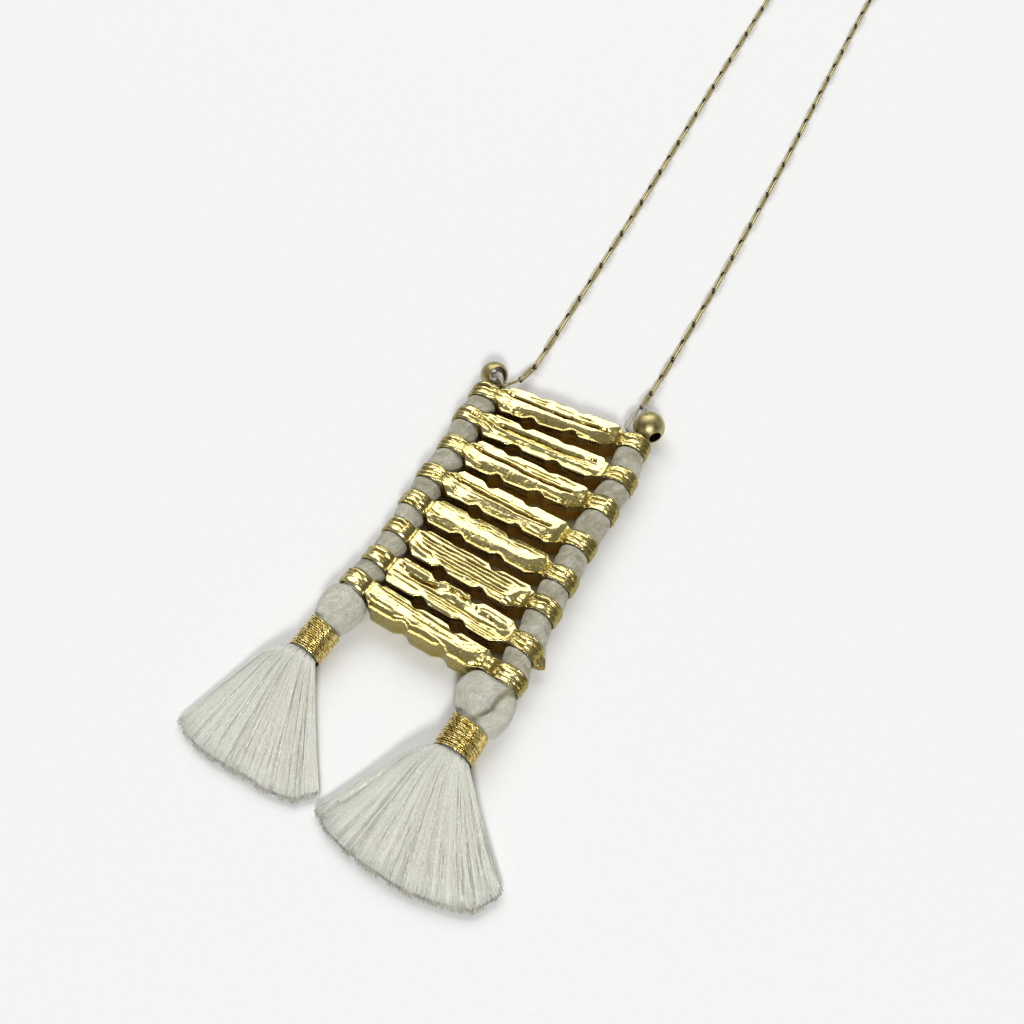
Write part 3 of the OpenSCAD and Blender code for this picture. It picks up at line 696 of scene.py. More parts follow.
def product(tree, value, other):
    """Two values multiplied."""
    return add_node(tree, "ShaderNodeMath", {0: value, 1: other}, operation="MULTIPLY").outputs[0]


def fine_relief(tree, height, strength, depth, normal=None):
    """The normal of a surface with a fine relief, so many metres deep, on top of another one."""
    links = {"Height": height} if normal is None else {"Height": height, "Normal": normal}
    return add_node(tree, "ShaderNodeBump", links, Strength=strength, Distance=depth).outputs[0]


def cast_gold():
    """Brass, lost-wax cast with a bark relief, gold plated and polished: bright on the ridges and flats, with
    painted shade in the grooves, pits and facets, painted shade on the walls and the eyes' flanks, and duller
    on the walls."""
    colours = bpy.context.scene.necklace_colours
    material, tree, surface = new_material("Gold_plated_cast_brass", Metallic=1.0)
    place = vertex_value(tree, "cast_place", "Vector")
    relief = vertex_value(tree, "relief")
    wall = vertex_value(tree, "side")
    # Fine casting lines about 0.25 mm apart that run along the bar
    streaks = noise(tree, stretched(tree, place, (0.45, 4.0, 2.0)), 1.0, 3.0, Roughness=0.55)
    # Grain of the casting skin, about 0.3 mm across
    skin = noise(tree, place, 3.0, 2.0, Roughness=0.5)
    # Painted shade: the relief value darkens the colour in the grooves, pits, eyes' grooves and facets
    tone = colour_ramp(
        tree, ranged(tree, relief, -0.32, -0.04),
        (0.0, colours.gold_groove_shade), (0.6, colours.gold_mid), (1.0, colours.gold_light),
    )
    # Painted shade on the walls and the eyes' flanks: the side value mixes in the flank colour at 0.5 and the
    # wall colour at 1
    wall_shade_tone = colour_ramp(tree, wall, (0.5, colours.gold_flank_shade), (1.0, colours.gold_shade))
    share = ranged(tree, wall, 0.0, 0.5)
    walls = add_node(tree, "ShaderNodeMix", {"Factor": share, 6: tone, 7: wall_shade_tone}, data_type="RGBA")
    lines = fine_relief(tree, streaks, 0.3, 0.00006)
    feed(tree, surface, {
        "Base Color": walls.outputs[2],
        "Roughness": times_and_plus(tree, wall, 0.14, ranged(tree, skin, 0.3, 0.75, 0.16, 0.3)),
        "Normal": fine_relief(tree, skin, 0.5, 0.00006, lines),
    })
    return material


def antique_brass():
    """Brass beads and chain wire, darkened in an oxidising bath and rubbed back: satin, with brown left in
    the low places, paler metal where it is touched, and painted shade along the links' outer edges."""
    colours = bpy.context.scene.necklace_colours
    material, tree, surface = new_material("Antiqued_brass", Metallic=1.0)
    place = add_node(tree, "ShaderNodeTexCoord").outputs["Object"]
    wear_and_shade = vertex_value(tree, "wear_and_shade")
    # Patches of stain about 1 mm across, with a grain of 0.15 mm
    patches = noise(tree, place, 1100.0, 4.0, Roughness=0.65)
    tone = colour_ramp(
        tree, times_and_plus(tree, patches, 0.55, wear_and_shade),
        (0.15, colours.brass_dark), (0.55, colours.brass_mid), (1.0, colours.brass_light),
    )
    feed(tree, surface, {
        "Base Color": tone,
        "Roughness": ranged(tree, patches, 0.3, 0.7, 0.3, 0.5),
        "Normal": fine_relief(tree, noise(tree, place, 5000.0, 2.0), 0.5, 0.00006),
    })
    return material


def cotton_yarn():
    """Thick cotton yarn, loosely twisted: dull and white, with painted soft shade between its fibres."""
    colours = bpy.context.scene.necklace_colours
    material, tree, surface = new_material(
        "Twisted_cotton_yarn", Roughness=0.85, Sheen_Weight=0.25, Sheen_Roughness=0.5, Specular_IOR_Level=0.25
    )
    place = vertex_value(tree, "fibre_place", "Vector")
    relief = vertex_value(tree, "relief")
    # Fibres of 0.02 mm, drawn as bundles about 0.2 mm wide and 5 times as long, so that they show
    fibres = noise(tree, stretched(tree, place, (3.6, 3.6, 1.5)), 1.0, 4.0, Roughness=0.65, Distortion=0.5)
    # Painted shade and light: the colour is darker where the skin lies low and lighter where it stands up
    mixed = times_and_plus(tree, fibres, 1.3, ranged(tree, relief, -0.2, 0.12))
    tone = colour_ramp(
        tree, ranged(tree, mixed, 0.55, 1.7),
        (0.0, colours.cotton_shade), (0.5, colours.cotton), (1.0, colours.cotton_light),
    )
    feed(tree, surface, {"Base Color": tone, "Normal": fine_relief(tree, fibres, 1.0, 0.0003)})
    return material


def silk_thread():
    """Rayon silk threads, cut and combed: off-white with a soft lengthwise gloss painted as bright dashes of
    highlight, each thread a little lighter or darker than the next, partly as painted light and shade."""
    colours = bpy.context.scene.necklace_colours
    material, tree, surface = new_material(
        "Combed_rayon_silk", Roughness=0.42, Sheen_Weight=0.3, Sheen_Roughness=0.4, Specular_IOR_Level=0.5
    )
    shade = vertex_value(tree, "shade")
    tone = colour_ramp(
        tree, shade, (0.0, colours.silk_shade), (0.45, colours.silk), (1.0, colours.silk_light)
    )
    # The thread's two plies turn over once in about 0.9 mm, and each is painted there as a bright dash of
    # highlight
    highlight_dashes = noise(tree, vertex_value(tree, "thread_place", "Vector"), 1.0, 1.0, Roughness=0.5)
    shown = product(tree, ranged(tree, highlight_dashes, 0.54, 0.68), ranged(tree, shade, 0.1, 0.4))
    lit = add_node(
        tree, "ShaderNodeMix", {"Factor": shown, 6: tone}, data_type="RGBA", i7=tuple(colours.silk_light)
    )
    feed(tree, surface, {"Base Color": lit.outputs[2], "Normal": fine_relief(tree, highlight_dashes, 0.4, 0.00008)})
    return material


def metallic_thread():
    """Polyester thread wound with a narrow strip of gold foil: warm yellow gold with painted glints where the
    strip turns and painted shade between its turns."""
    colours = bpy.context.scene.necklace_colours
    material, tree, surface = new_material("Gold_foil_wound_thread", Metallic=0.95, Roughness=0.25)
    twist = vertex_value(tree, "twist_place", "Vector")
    crown = vertex_value(tree, "crown")
    # The foil's turns lie 0.35 mm apart round the thread
    foil = add_node(
        tree, "ShaderNodeTexWave", {"Vector": twist}, wave_type="BANDS", bands_direction="X",
        Scale=0.52, Distortion=1.6, Detail=1.0, Detail_Scale=1.5,
    ).outputs["Fac"]
    # Painted glints in the light foil colour, and painted shade in the gaps between the turns
    painted_glint = ranged(tree, noise(tree, twist, 1.3, 1.0, Roughness=0.5), 0.42, 0.62, 0.14, 0.8)
    gap = ranged(tree, crown, 0.3, 0.85, 0.05, 1.0)
    tone = colour_ramp(
        tree, product(tree, times_and_plus(tree, foil, 0.42, painted_glint), gap),
        (0.12, colours.foil_dark), (0.5, colours.foil), (0.95, colours.foil_light),
    )
    feed(tree, surface, {"Base Color": tone, "Normal": fine_relief(tree, foil, 0.35, 0.00008)})
    return material


def bar_frame(row):
    """The length of a bar between its eyes and its turn, in radians."""
    dx = row[RIGHT] - row[LEFT]
    dy = row[RIGHT + 1] - row[LEFT + 1]
    return math.hypot(dx, dy), math.atan2(dy, dx)


def block_outline(row, span):
    """The upper and the lower side of a block's outline, from left to right."""
    start, end = row[4], span - row[5]

    def edge(side, u):
        """How far out an edge lies at a place along the bar."""
        return row[side] + (row[side + 1] - row[side]) * (u - start) / (end - start)

    def notch(side, u, width, floor, rise):
        """A notch of this width at the edge and at its floor."""
        return [
            (u - width / 2, edge(side, u)),
            (u - floor / 2, edge(side, u) + rise),
            (u + floor / 2, edge(side, u) + rise),
            (u + width / 2, edge(side, u)),
        ]

    first = row[10]
    upper = (
        [(start, row[6] - CORNER), (start + CORNER, row[6])]
        + notch(6, first, *UPPER_NOTCH, -row[11])
        + notch(6, first + NOTCH_GAP, *UPPER_NOTCH, -row[12])
        + [(end - CORNER, row[7]), (end, row[7] - CORNER)]
    )
    lower = (
        [(start, row[8] + CORNER), (start + CORNER, row[8])]
        + notch(8, first, *LOWER_NOTCH)
        + notch(8, first + NOTCH_GAP, *LOWER_NOTCH)
        + [(end - LOW_CORNER[0], row[9]), (end, row[9] + LOW_CORNER[1])]
    )
    return upper, lower


def prism(outline, low, high):
    """A solid with this outline, drawn as a face and extruded upwards."""
    deselect()
    bpy.ops.mesh.primitive_circle_add(vertices=len(outline), radius=1, fill_type="NGON")
    solid = bpy.context.object
    set_coordinates(solid.data, [(u, v, low) for u, v in outline])
    bpy.ops.object.mode_set(mode="EDIT")
    bpy.ops.mesh.select_all(action="SELECT")
    bpy.ops.mesh.extrude_region_move(TRANSFORM_OT_translate={"value": (0, 0, high - low)})
    face_outwards(solid)
    return solid


def rough_bar(row, span, spur):
    """A bar before its relief: the block, its necks and its eyes, as closed shapes that overlap, and the
    spur that its casting left on the right eye where it has one."""
    upper, lower = block_outline(row, span)
    parts = [prism(upper + lower[::-1], BLOCK_LOW, BLOCK_TOP)]
    near_low, near_high, near, wide = NECK
    for centre, way, block_end, high, low in (
        (0, 1, row[4], row[6] - CORNER, row[8] + CORNER),
        (span, -1, span - row[5], row[7] - CORNER, row[9] + LOW_CORNER[1]),
    ):
        deselect()
        lying = {"vertices": EYE_SIDES, "location": (centre, 0, EYE_R), "rotation": (math.pi / 2, 0, 0)}
        bpy.ops.mesh.primitive_cylinder_add(radius=EYE_R, depth=EYE_W, end_fill_type="NOTHING", **lying)
        eye = bpy.context.object
        wall = eye.modifiers.new("wall", "SOLIDIFY")
        wall.thickness = EYE_R - BORE_R
        wall.offset = -1
        finish_modifiers(eye)
        bpy.ops.mesh.primitive_cylinder_add(radius=BORE_R + NECK_CLEAR, depth=3 * EYE_W, **lying)
        bore = bpy.context.object
        starts, widens, joined = centre + way * near, centre + way * wide, block_end + way
        outline = [
            (starts, near_low), (widens, near_low), (block_end, low), (joined, low),
            (joined, high), (block_end, high), (widens, near_high), (starts, near_high),
        ]
        neck = prism(outline, NECK_LOW, BLOCK_TOP)
        cut = neck.modifiers.new("bore", "BOOLEAN")
        cut.operation = "DIFFERENCE"
        cut.object = bore
        finish_modifiers(neck)
        bpy.data.objects.remove(bore)
        parts += [eye, neck]
    if spur:
        fin = prism([(span + u, v) for u, v in SPUR], *SPUR_RISE)
        co = coordinates(fin.data)
        out = co[:, 0] - span - SPUR[0][0]
        outwards, across, line = SPUR_FALL
        fall = outwards * out - across * (co[:, 1] - line)
        co[:, 2] -= np.where(co[:, 2] > SPUR_RISE[0] + 0.1, fall, 0)
        set_coordinates(fin.data, co)
        parts.append(fin)
    return join(parts)


def flow(u, v, rows, seed):
    """The height of a bar's ridges and grooves at places along and across it, and how far a place lies
    in a narrow groove."""
    total, crevice = np.zeros(len(u)), np.zeros(len(u))
    for n, (height, above, below, line) in enumerate(rows):
        us = [p[0] for p in line]
        centre = np.interp(u, us, [p[1] for p in line])
        narrow = min(above, below)
        sway = 0.05 + 0.12 * min(narrow, 0.4)
        centre = centre + sway * grain(u * 0.8, n, 0, seed) + 0.4 * sway * grain(u * 2.6, n, 5, seed)
        off = v - centre
        share = np.where(off > 0, off / above, -off / below)
        form = np.clip(1 - share * share, 0, 1) ** 1.5
        rim = min(1.0, (us[-1] - us[0]) * 0.3)
        ends = smooth_step(u, us[0] - rim * 0.4, us[0] + rim)
        ends = ends * (1 - smooth_step(u, us[-1] - rim, us[-1] + rim * 0.4))
        part = height * form * ends * (1 + 0.35 * grain(u * 0.9, n, 9, seed + 1))
        total += part
        if height < 0:
            crevice -= part
    return total, crevice


def facet_height(u, v, i, lower, seed):
    """The height of a bar's flat facets and sloping ends, with the lip along its lower edge."""
    edge = np.interp(u, [p[0] for p in lower], [p[1] for p in lower])
    wave = 0.09 * grain(u * 0.9, 0, 0, seed) + 0.05 * grain(u * 2.6, 0, 4, seed)
    above_lip = smooth_step(v - edge, 0.22, 0.48)
    drop, total = np.zeros(len(u)), np.zeros(len(u))
    for slope, top, bottom in FACETS[i]:
        us = [p[0] for p in top]
        high = np.interp(u, us, [p[1] for p in top]) + wave
        ends = smooth_step(u, us[0] - 0.2, us[0] + 0.9) * (1 - smooth_step(u, us[-1] - 0.5, us[-1] + 0.6))
        if bottom is None:
            low = edge + 0.42
        else:
            low = np.interp(u, [p[0] for p in bottom], [p[1] for p in bottom]) - wave
        width = np.maximum(high - low, 0.15)
        share = np.clip((high - v) / width, 0, 1)
        part = slope * width * share * share * 1.06 / (share + 0.06) * ends
        if bottom is None:
            drop += part
        else:
            total -= part * smooth_step(v, low - 0.22, low + 0.08)
    start, start_high, slope, dip = ENDS[i]
    past = np.maximum(u - start - (start_high - start) * (v + 1) / 3 - 2 * wave, 0)
    drop += slope * past * past / (past + 0.2)
    total -= drop * above_lip + np.maximum(drop - LIP, 0) * (1 - above_lip)
    total -= dip * np.clip(1 - ((u - DIP_AT - wave) / DIP_HALF) ** 2, 0, 1)
    slope, line = FAR_SLOPES[i]
    return total - slope * np.maximum(v - line - wave, 0)


def carve(mesh, row, span, i, depth):
    """Raises and cuts the cast relief on a bar's skin."""
    seed = 20 + i
    co = coordinates(mesh)
    normal = vertex_normals(mesh)
    u, v, w = co.T
    ridges, crevice = flow(u, v, RELIEF[i], seed)
    facets = facet_height(u, v, i, block_outline(row, span)[1], seed + 40)
    warp = 0.3 * grain(u * 0.25, v * 0.6, 3, seed)
    swell = grain(u * 0.5, (v + warp) * 1.3, 1, seed)
    bark = grain(u * 0.7, (v + warp) * 3.5, 2, seed)
    crumbs = grain(u * 2.2, v * 2.6, w * 2, seed + 7)
    pits = smooth_step(grain(u * 2.2, v * 3.6, 6, seed), 0.55, 0.9)
    h = depth * (ridges + facets + 0.042 * swell + 0.02 * bark + 0.004 * crumbs - 0.05 * pits)
    top = smooth_step(normal[:, 2], 0.25, 0.8) * smooth_step(w, 3.0, 3.8)
    side = np.clip(1 - np.abs(normal[:, 2]), 0, 1) * smooth_step(w, 0.3, 0.9)
    ribs = 0.08 * grain(u * 0.3, v * 0.3, w * 1.6, seed + 3)
    ribs = ribs + 0.05 * grain(u * 0.5, v * 0.5, w * 3.4, seed + 4)
    kept = np.zeros(len(u))
    moved = co.copy()
    on_eye, flank_shade = np.zeros(len(u)), np.zeros(len(u))
    ring_cuts = []
    for centre, phase in ((0.0, 0.0), (span, 1.7)):
        across = u - centre
        radius = np.hypot(across, w - EYE_R)
        inward = across if centre == 0 else -across
        ring = (np.abs(across) < EYE_REACH) & (radius > BORE_R + 0.3) & (np.abs(v) < EYE_W / 2 + 0.3)
        free = np.where(ring, 1 - smooth_step(inward, 1.5, 2.3) * smooth_step(4.9 - w, 0.0, 0.6), 0.0)
        turn = np.arctan2(w - EYE_R, across)
        lane = v + 0.28 * grain(turn * 1.1, phase * 3, i, seed + 11)
        lane = lane + 0.1 * grain(turn * 3.1, phase * 3, i, seed + 13)
        main = 0.15 + 0.45 * lattice(i, int(phase), 5, 31)
        first = 1 + 0.6 * grain(turn * 1.2, phase, i + 3, seed + 14)
        second = 1 + 0.8 * grain(turn * 1.2, phase, i + 6, seed + 15)
        cut = np.zeros(len(u))
        for (deep, across_at, half), uneven in zip(EYE_GROOVES, (first, second, second)):
            cut += deep * uneven * np.clip(1 - ((lane - main - across_at) / half) ** 2, 0, 1)
        dents = 0.075 * grain(turn * 2.4, lane * 1.1, phase, seed + 12)
        dents = dents + 0.022 * grain(turn * 5.0, lane * 2.2, phase, seed + 16)
        out = np.clip(np.abs(v) - RIM_AT, 0, RIM_R)
        rim = RIM_R - np.sqrt(np.clip(RIM_R**2 - out**2, 0, None))
        skin = -depth * cut - 0.8 * rim + depth * dents
        ring_cuts.append(depth * (dents - cut) * (1 - smooth_step(inward, *CUTS_FADE[centre > 0])))
        away = np.stack([across, np.zeros(len(u)), w - EYE_R], axis=1) / np.maximum(radius, 1e-6)[:, None]
        facing = np.clip((normal * away).sum(axis=1), 0, 1)
        moved += away * (free * skin * facing)[:, None]
        # The eyes' grooves and dents are summed here for their painted shade
        kept += free * depth * (cut + np.maximum(-dents, 0))
        on_eye += free
        flank_shade += free * smooth_step(np.abs(across) / np.maximum(radius, 1e-6), 0.36, 0.75)
    lift = (1 - 0.8 * on_eye) * h * top
    moved[:, 2] += np.clip(lift, *LIFT_RANGE)
    moved += normal * ((1 - on_eye) * side * ribs)[:, None]
    right_form = depth * (0.6 * ridges + 0.03 * swell + 0.1 * np.exp(-(((v + 1.0) / 0.25) ** 2)))
    for end, (inward, (high, fall, at, far), share, form) in enumerate((
        (u, STRAP_LEFT, 1.0 if ENDS[i][3] < 0.2 else 0.3, h),
        (span - u, STRAP_RIGHT, 1.0, right_form),
    )):
        wide = 1.12 + 0.5 * smooth_step(inward, 2.0, 3.2)
        reach = smooth_step(inward, at, at + 0.7) * (1 - smooth_step(inward, far - 1.2, far))
        reach *= 1 - smooth_step(np.abs(v - 0.05), wide - 0.12, wide + 0.28)
        rise = high - fall * (inward - at) + form * smooth_step(inward, 1.4, 2.8)
        gap = rise + ring_cuts[end] - moved[:, 2]
        moved[:, 2] += 0.5 * (gap + np.sqrt(gap * gap + 0.0015)) * reach * smooth_step(w, 3.6, 4.1) * share
    moved[:, 2] = np.clip(moved[:, 2], *SKIN_RANGE)
    set_coordinates(mesh, moved)
    store(mesh, "cast_place", np.stack([u, v, w], axis=1))
    # Painted shade: a deeper tone in the narrow grooves, the pits, the eyes' grooves and where the facets cut
    # deeper
    facet_shade = smooth_step(-facets, 0.08, 0.3)
    hollow_shade = kept + (crevice + 0.12 * pits * depth + FACET_SHADE * facet_shade) * top * (1 - on_eye)
    store(mesh, "relief", -np.clip(hollow_shade, 0, 0.5))
    # Painted shade: the bars' walls are 1, and the eyes' flanks and the wall that faces the tassels are 0.5
    open_wall_shade = np.where((v < 0) & (i == len(BARS) - 1), 0.5, 1.0)
    # Painted light: a wall's upper part is lighter, down to 0.5
    stain = 1 - 0.5 * smooth_step(w, 2.4, 3.8)
    store(mesh, "side", side * np.minimum(open_wall_shade, stain) * (1 - on_eye) + 0.5 * flank_shade)


def joints(mesh, span):
    """The vertices where a bar's necks run up to its eyes."""
    u, v, w = coordinates(mesh).T
    near = np.zeros(len(u), bool)
    for inward in (u, span - u):
        near |= (inward > 1.3) & (inward < 3.3)
    return np.nonzero(near & (w > 3.4) & (np.abs(v) < 2.2))[0].tolist()


def underside(mesh, span):
    """The vertices of a bar that lie low or in its bores, where no detail shows."""
    u, _, w = coordinates(mesh).T
    hidden = w < UNDERSIDE
    for centre in (0, span):
        hidden |= np.hypot(u - centre, w - EYE_R) < BORE_R + 0.25
    return np.nonzero(hidden)[0].tolist()


def section(eye, turn, at, r):
    """A round section of a cord, so far above the middle of an eye."""
    return (eye[0] - at * math.sin(turn), eye[1] + at * math.cos(turn), EYE_R, math.degrees(turn), r, r)


def cord_sections(side, lower_end):
    """The sections of a cord, from its top end through the eyes to its winding."""
    turns = [bar_frame(b)[1] for b in BARS]
    eyes = [(b[side], b[side + 1]) for b in BARS]
    rows = [section(eyes[0], turns[0], at, r) for at, r in CORD_TOP]
    inner, outer = EYE_W / 2 + 0.02, EYE_W / 2 + 0.2
    for i, (eye, turn) in enumerate(zip(eyes, turns)):
        rows += [section(eye, turn, inner, CORD_IN_EYE), section(eye, turn, -inner, CORD_IN_EYE)]
        if i + 1 < len(BARS):
            a = section(eye, turn, -outer, CORD_LOOSE - 0.09)
            b = section(eyes[i + 1], turns[i + 1], outer, CORD_LOOSE - 0.09)
            middle = tuple((p + q) / 2 for p, q in zip(a, b))
            rows += [a, middle[:4] + (CORD_LOOSE, CORD_LOOSE), b]
    return rows + list(lower_end)


def yarn(name, sections, twist, seed, strays=0, sides=84, spacing=0.18):
    """A cord of loosely twisted yarn over sections along its route, with some stray fibres on it."""
    rows = curve_points(sections, 6)
    places = np.linspace(0, len(sections) - 1, len(rows))
    tight = np.interp(places, range(len(sections)), [s[4] for s in sections])
    rows[:, 4] = np.minimum(rows[:, 4], np.maximum(tight, CORD_TIGHT - 0.02) + 0.06)
    rows = along(rows, spacing)
    count = len(rows)
    run = np.arange(count)[:, None] * spacing
    # The twist opens out where the cord folds under its winding
    opened = smooth_step(run, run[-1] - CORD_OPENS[0], run[-1] - CORD_OPENS[1])
    way = np.cumsum(1 - 0.85 * opened, axis=0) * spacing
    angle = np.linspace(0, 2 * math.pi, sides, endpoint=False)[None, :]
    drift = 0.3 * grain(np.cos(angle) * 1.1, np.sin(angle) * 1.1, run * 0.3, seed + 3)
    turned = angle - way * twist + drift
    ply_x, ply_y = np.cos(turned) * 2.4, np.sin(turned) * 2.4
    fine = grain(ply_x * 3.4, ply_y * 3.4, run * 0.5, seed)
    middle = grain(ply_x * 1.6, ply_y * 1.6, run * 0.3, seed + 1)
    folds = grain(ply_x * 0.5, ply_y * 0.5, run * 0.45, seed + 2)
    wrinkles = grain(np.cos(angle) * 1.6, np.sin(angle) * 1.6 + run * 0.35, run * 1.5, seed + 4)
    height = 0.04 * fine + 0.045 * middle + 0.06 * folds + 0.08 * wrinkles - 0.09
    snug = smooth_step(rows[:, 4], CORD_TIGHT, CORD_TIGHT + 0.25)[:, None]
    swell = np.where(height > 0, height * snug, height)
    rx = rows[:, 4][:, None] + swell
    rz = rows[:, 5][:, None] + swell
    turn = np.radians(rows[:, 3])[:, None]
    flat = np.cos(angle)
    out = np.stack([flat * np.cos(turn), flat * np.sin(turn), np.sin(angle) + 0 * turn], axis=-1)
    skin = rows[:, None, :3] + out * np.stack([rx, rx, rz], axis=-1)
    skin[..., 2] = np.clip(skin[..., 2], 0.02, None)
    obj = mesh_object(name, placed(skin.reshape(-1, 3)), tube_faces(count, sides))
    # Painted shade where the skin lies lower; the cord is a little darker along its run and lighter where its
    # twist opens out
    relief = (height * (1 - 0.5 * opened) - 0.05 * (1 - opened) + 0.05 * opened).ravel()
    fibre = np.stack([ply_x, ply_y, run + 0 * ply_x], axis=-1).reshape(-1, 3)
    store(obj.data, "relief", relief)
    store(obj.data, "fibre_place", fibre)
    face_outwards(obj)
    if strays:
        free = rows[:, 4] > CORD_TIGHT + 0.2
        obj = join([obj, stray_fibres(f"{name}_strays", skin, out, free, strays, seed)])
    return obj


def stray_fibres(name, skin, out, free, count, seed):
    """Fine loose fibres that lie on a cord's skin where it is free, each a thin closed tube."""
    rng = np.random.default_rng(seed)
    rows, sides = skin.shape[:2]
    stations, edges = 6, 3
    points, faces = [], []
    share = np.linspace(0, 1, stations)
    while len(points) < count:
        first, length = rng.integers(0, rows - 16), rng.integers(4, 14)
        column, lean, lift = rng.integers(0, sides), rng.normal(0, 3.5), rng.uniform(0.02, 0.1)
        row = np.round(first + share * length).astype(int)
        if not free[row[0] : row[-1] + 1].all():
            continue
        side = np.round(column + lean * share + 1.5 * rng.normal() * np.sin(share * 3)).astype(int) % sides
        path = skin[row, side] + out[row, side] * (0.01 + lift * np.sin(share * math.pi))[:, None]
        ahead = np.gradient(path, axis=0)
        ahead /= np.linalg.norm(ahead, axis=1)[:, None] + 1e-9
        across = np.cross(ahead, out[row, side])
        across /= np.linalg.norm(across, axis=1)[:, None] + 1e-9
        up = np.cross(across, ahead)
        ring = [
            path + STRAY_R * (math.cos(a) * across + math.sin(a) * up)
            for a in (math.pi / 2, math.pi * 7 / 6, math.pi * 11 / 6)
        ]
        faces += tube_faces(stations, edges, len(points) * stations * edges)
        points.append(np.stack(ring, axis=1).reshape(-1, 3))
    flat = np.concatenate(points)
    obj = mesh_object(name, placed(flat), faces)
    # Painted light: the stray fibres get the lightest tone
    store(obj.data, "relief", np.full(len(flat), 0.12))
    store(obj.data, "fibre_place", flat)
    face_outwards(obj)
    return obj


def shade_crease(first, second):
    """Paints shade into the fibres where two folds of a cord press on one another."""
    graph = bpy.context.evaluated_depsgraph_get()
    trees = [BVHTree.FromObject(obj, graph) for obj in (first, second)]
    for obj, tree in ((first, trees[1]), (second, trees[0])):
        co = coordinates(obj.data)
        low, high = (placed((*corner, 0.0))[:2] for corner in CREASE_AREA)
        relief = np.empty(len(co), np.float32)
        obj.data.attributes["relief"].data.foreach_get("value", relief)
        inside = np.all((co[:, :2] > low) & (co[:, :2] < high), axis=1)
        for k in np.nonzero(inside)[0]:
            far = tree.find_nearest(co[k])[3] / MM
            relief[k] -= CREASE_SHADE * (1 - far / CREASE_WIDTH) if far < CREASE_WIDTH else 0.0
        store(obj.data, "relief", relief)


def fan_place(tassel, share, reach, level, rise=0.0):
    """A place in a tassel: share is from the left edge, -1, to the right, 1; reach is from the winding,
    0, to the cut ends, 1; level is from its underside, -1, to its top, 1."""
    top, end, wrap_r, turn, spread, bow, lengths = tassel
    way = np.array([end[0] - top[0], end[1] - top[1]])
    way = way / np.linalg.norm(way)
    side = np.array([-way[1], way[0]])
    out = np.maximum(reach, 0)
    length = np.interp((share + 1) / 2 * (len(lengths) - 1), range(len(lengths)), lengths)
    head = wrap_r - WRAP_WALL - 0.15
    angle = np.radians(turn + share * spread)
    swell = np.sqrt(np.maximum(0, out - 0.02))
    across = share * head * np.maximum(0, 1 - out) ** 1.5 - 2 * bow * (1 - share) * swell * (1 - swell)
    far = np.where(reach > 0, length * reach, reach * 4)
    x = end[0] + np.where(reach > 0, far * np.cos(angle), far * way[0]) + side[0] * across
    y = end[1] + np.where(reach > 0, far * np.sin(angle), far * way[1]) + side[1] * across
    steps = [-0.5, -0.005] + [r[0] for r in SKIRT_ROWS]
    middles = [1, 1] + [r[1] for r in SKIRT_ROWS]
    halves = [head / wrap_r, head / wrap_r] + [r[2] for r in SKIRT_ROWS]
    middle = np.interp(reach, steps, middles)
    half = np.interp(reach, steps, halves)
    full = np.where(reach > 0, 0.8, 0.98)
    z = wrap_r * middle + level * wrap_r * half * np.sqrt(np.maximum(0, 1 - full * share * share)) + rise
    return np.stack([x, y, np.maximum(z, 0.02)], axis=-1)


def tassel_core(name, tassel, seed):
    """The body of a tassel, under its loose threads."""
    across, stations = 80, 40
    reach = np.concatenate([[-0.3], np.linspace(-0.02, 0.975, stations)])
    shares = -np.cos(np.linspace(0, math.pi, across))
    rows = []
    for r in reach:
        drop = 0.16 + 0.06 * grain(shares * 26, r * 1.5, 0, seed) if r > 0 else 0.02
        top = fan_place(tassel, shares * 0.985, np.full(across, r * CUT_SLOPE), 0.96, -drop)
        low = fan_place(tassel, shares[::-1] * 0.985, np.full(across, r), -0.96)
        rows.append(np.concatenate([top, low]))
    points = np.concatenate(rows)
    obj = mesh_object(name, placed(points), tube_faces(len(reach), 2 * across))
    shade = np.clip(0.5 + 0.1 * grain(points[:, 0] * 6, points[:, 1] * 1.2, 0, seed + 5), 0, 1)
    # Painted shade: the cut end gets the threads' darker tone
    shade[-2 * across :] = 0.3
    store(obj.data, "shade", shade)
    store(obj.data, "thread_place", np.stack([points[:, 0] * 5, points[:, 2] * 5, points[:, 1]], axis=1))
    return obj


def path_frame(path):
    """The ways ahead, sideways and upwards at each point of a path that never runs straight up."""
    ahead = np.gradient(path, axis=0)
    ahead /= np.linalg.norm(ahead, axis=1)[:, None]
    side = np.cross(ahead, [0, 0, 1.0])
    side /= np.linalg.norm(side, axis=1)[:, None]
    return ahead, side, np.cross(side, ahead)


def tube_points(path, side, up, radius, sides, first=0.0):
    """The rings of points of a tube along a path, which has this radius at each of the path's points."""
    rings = []
    for k in range(sides):
        a = first + 2 * math.pi * k / sides
        rings.append(path + (radius * math.cos(a))[:, None] * side + (radius * math.sin(a))[:, None] * up)
    return np.stack(rings, axis=1).reshape(-1, 3)


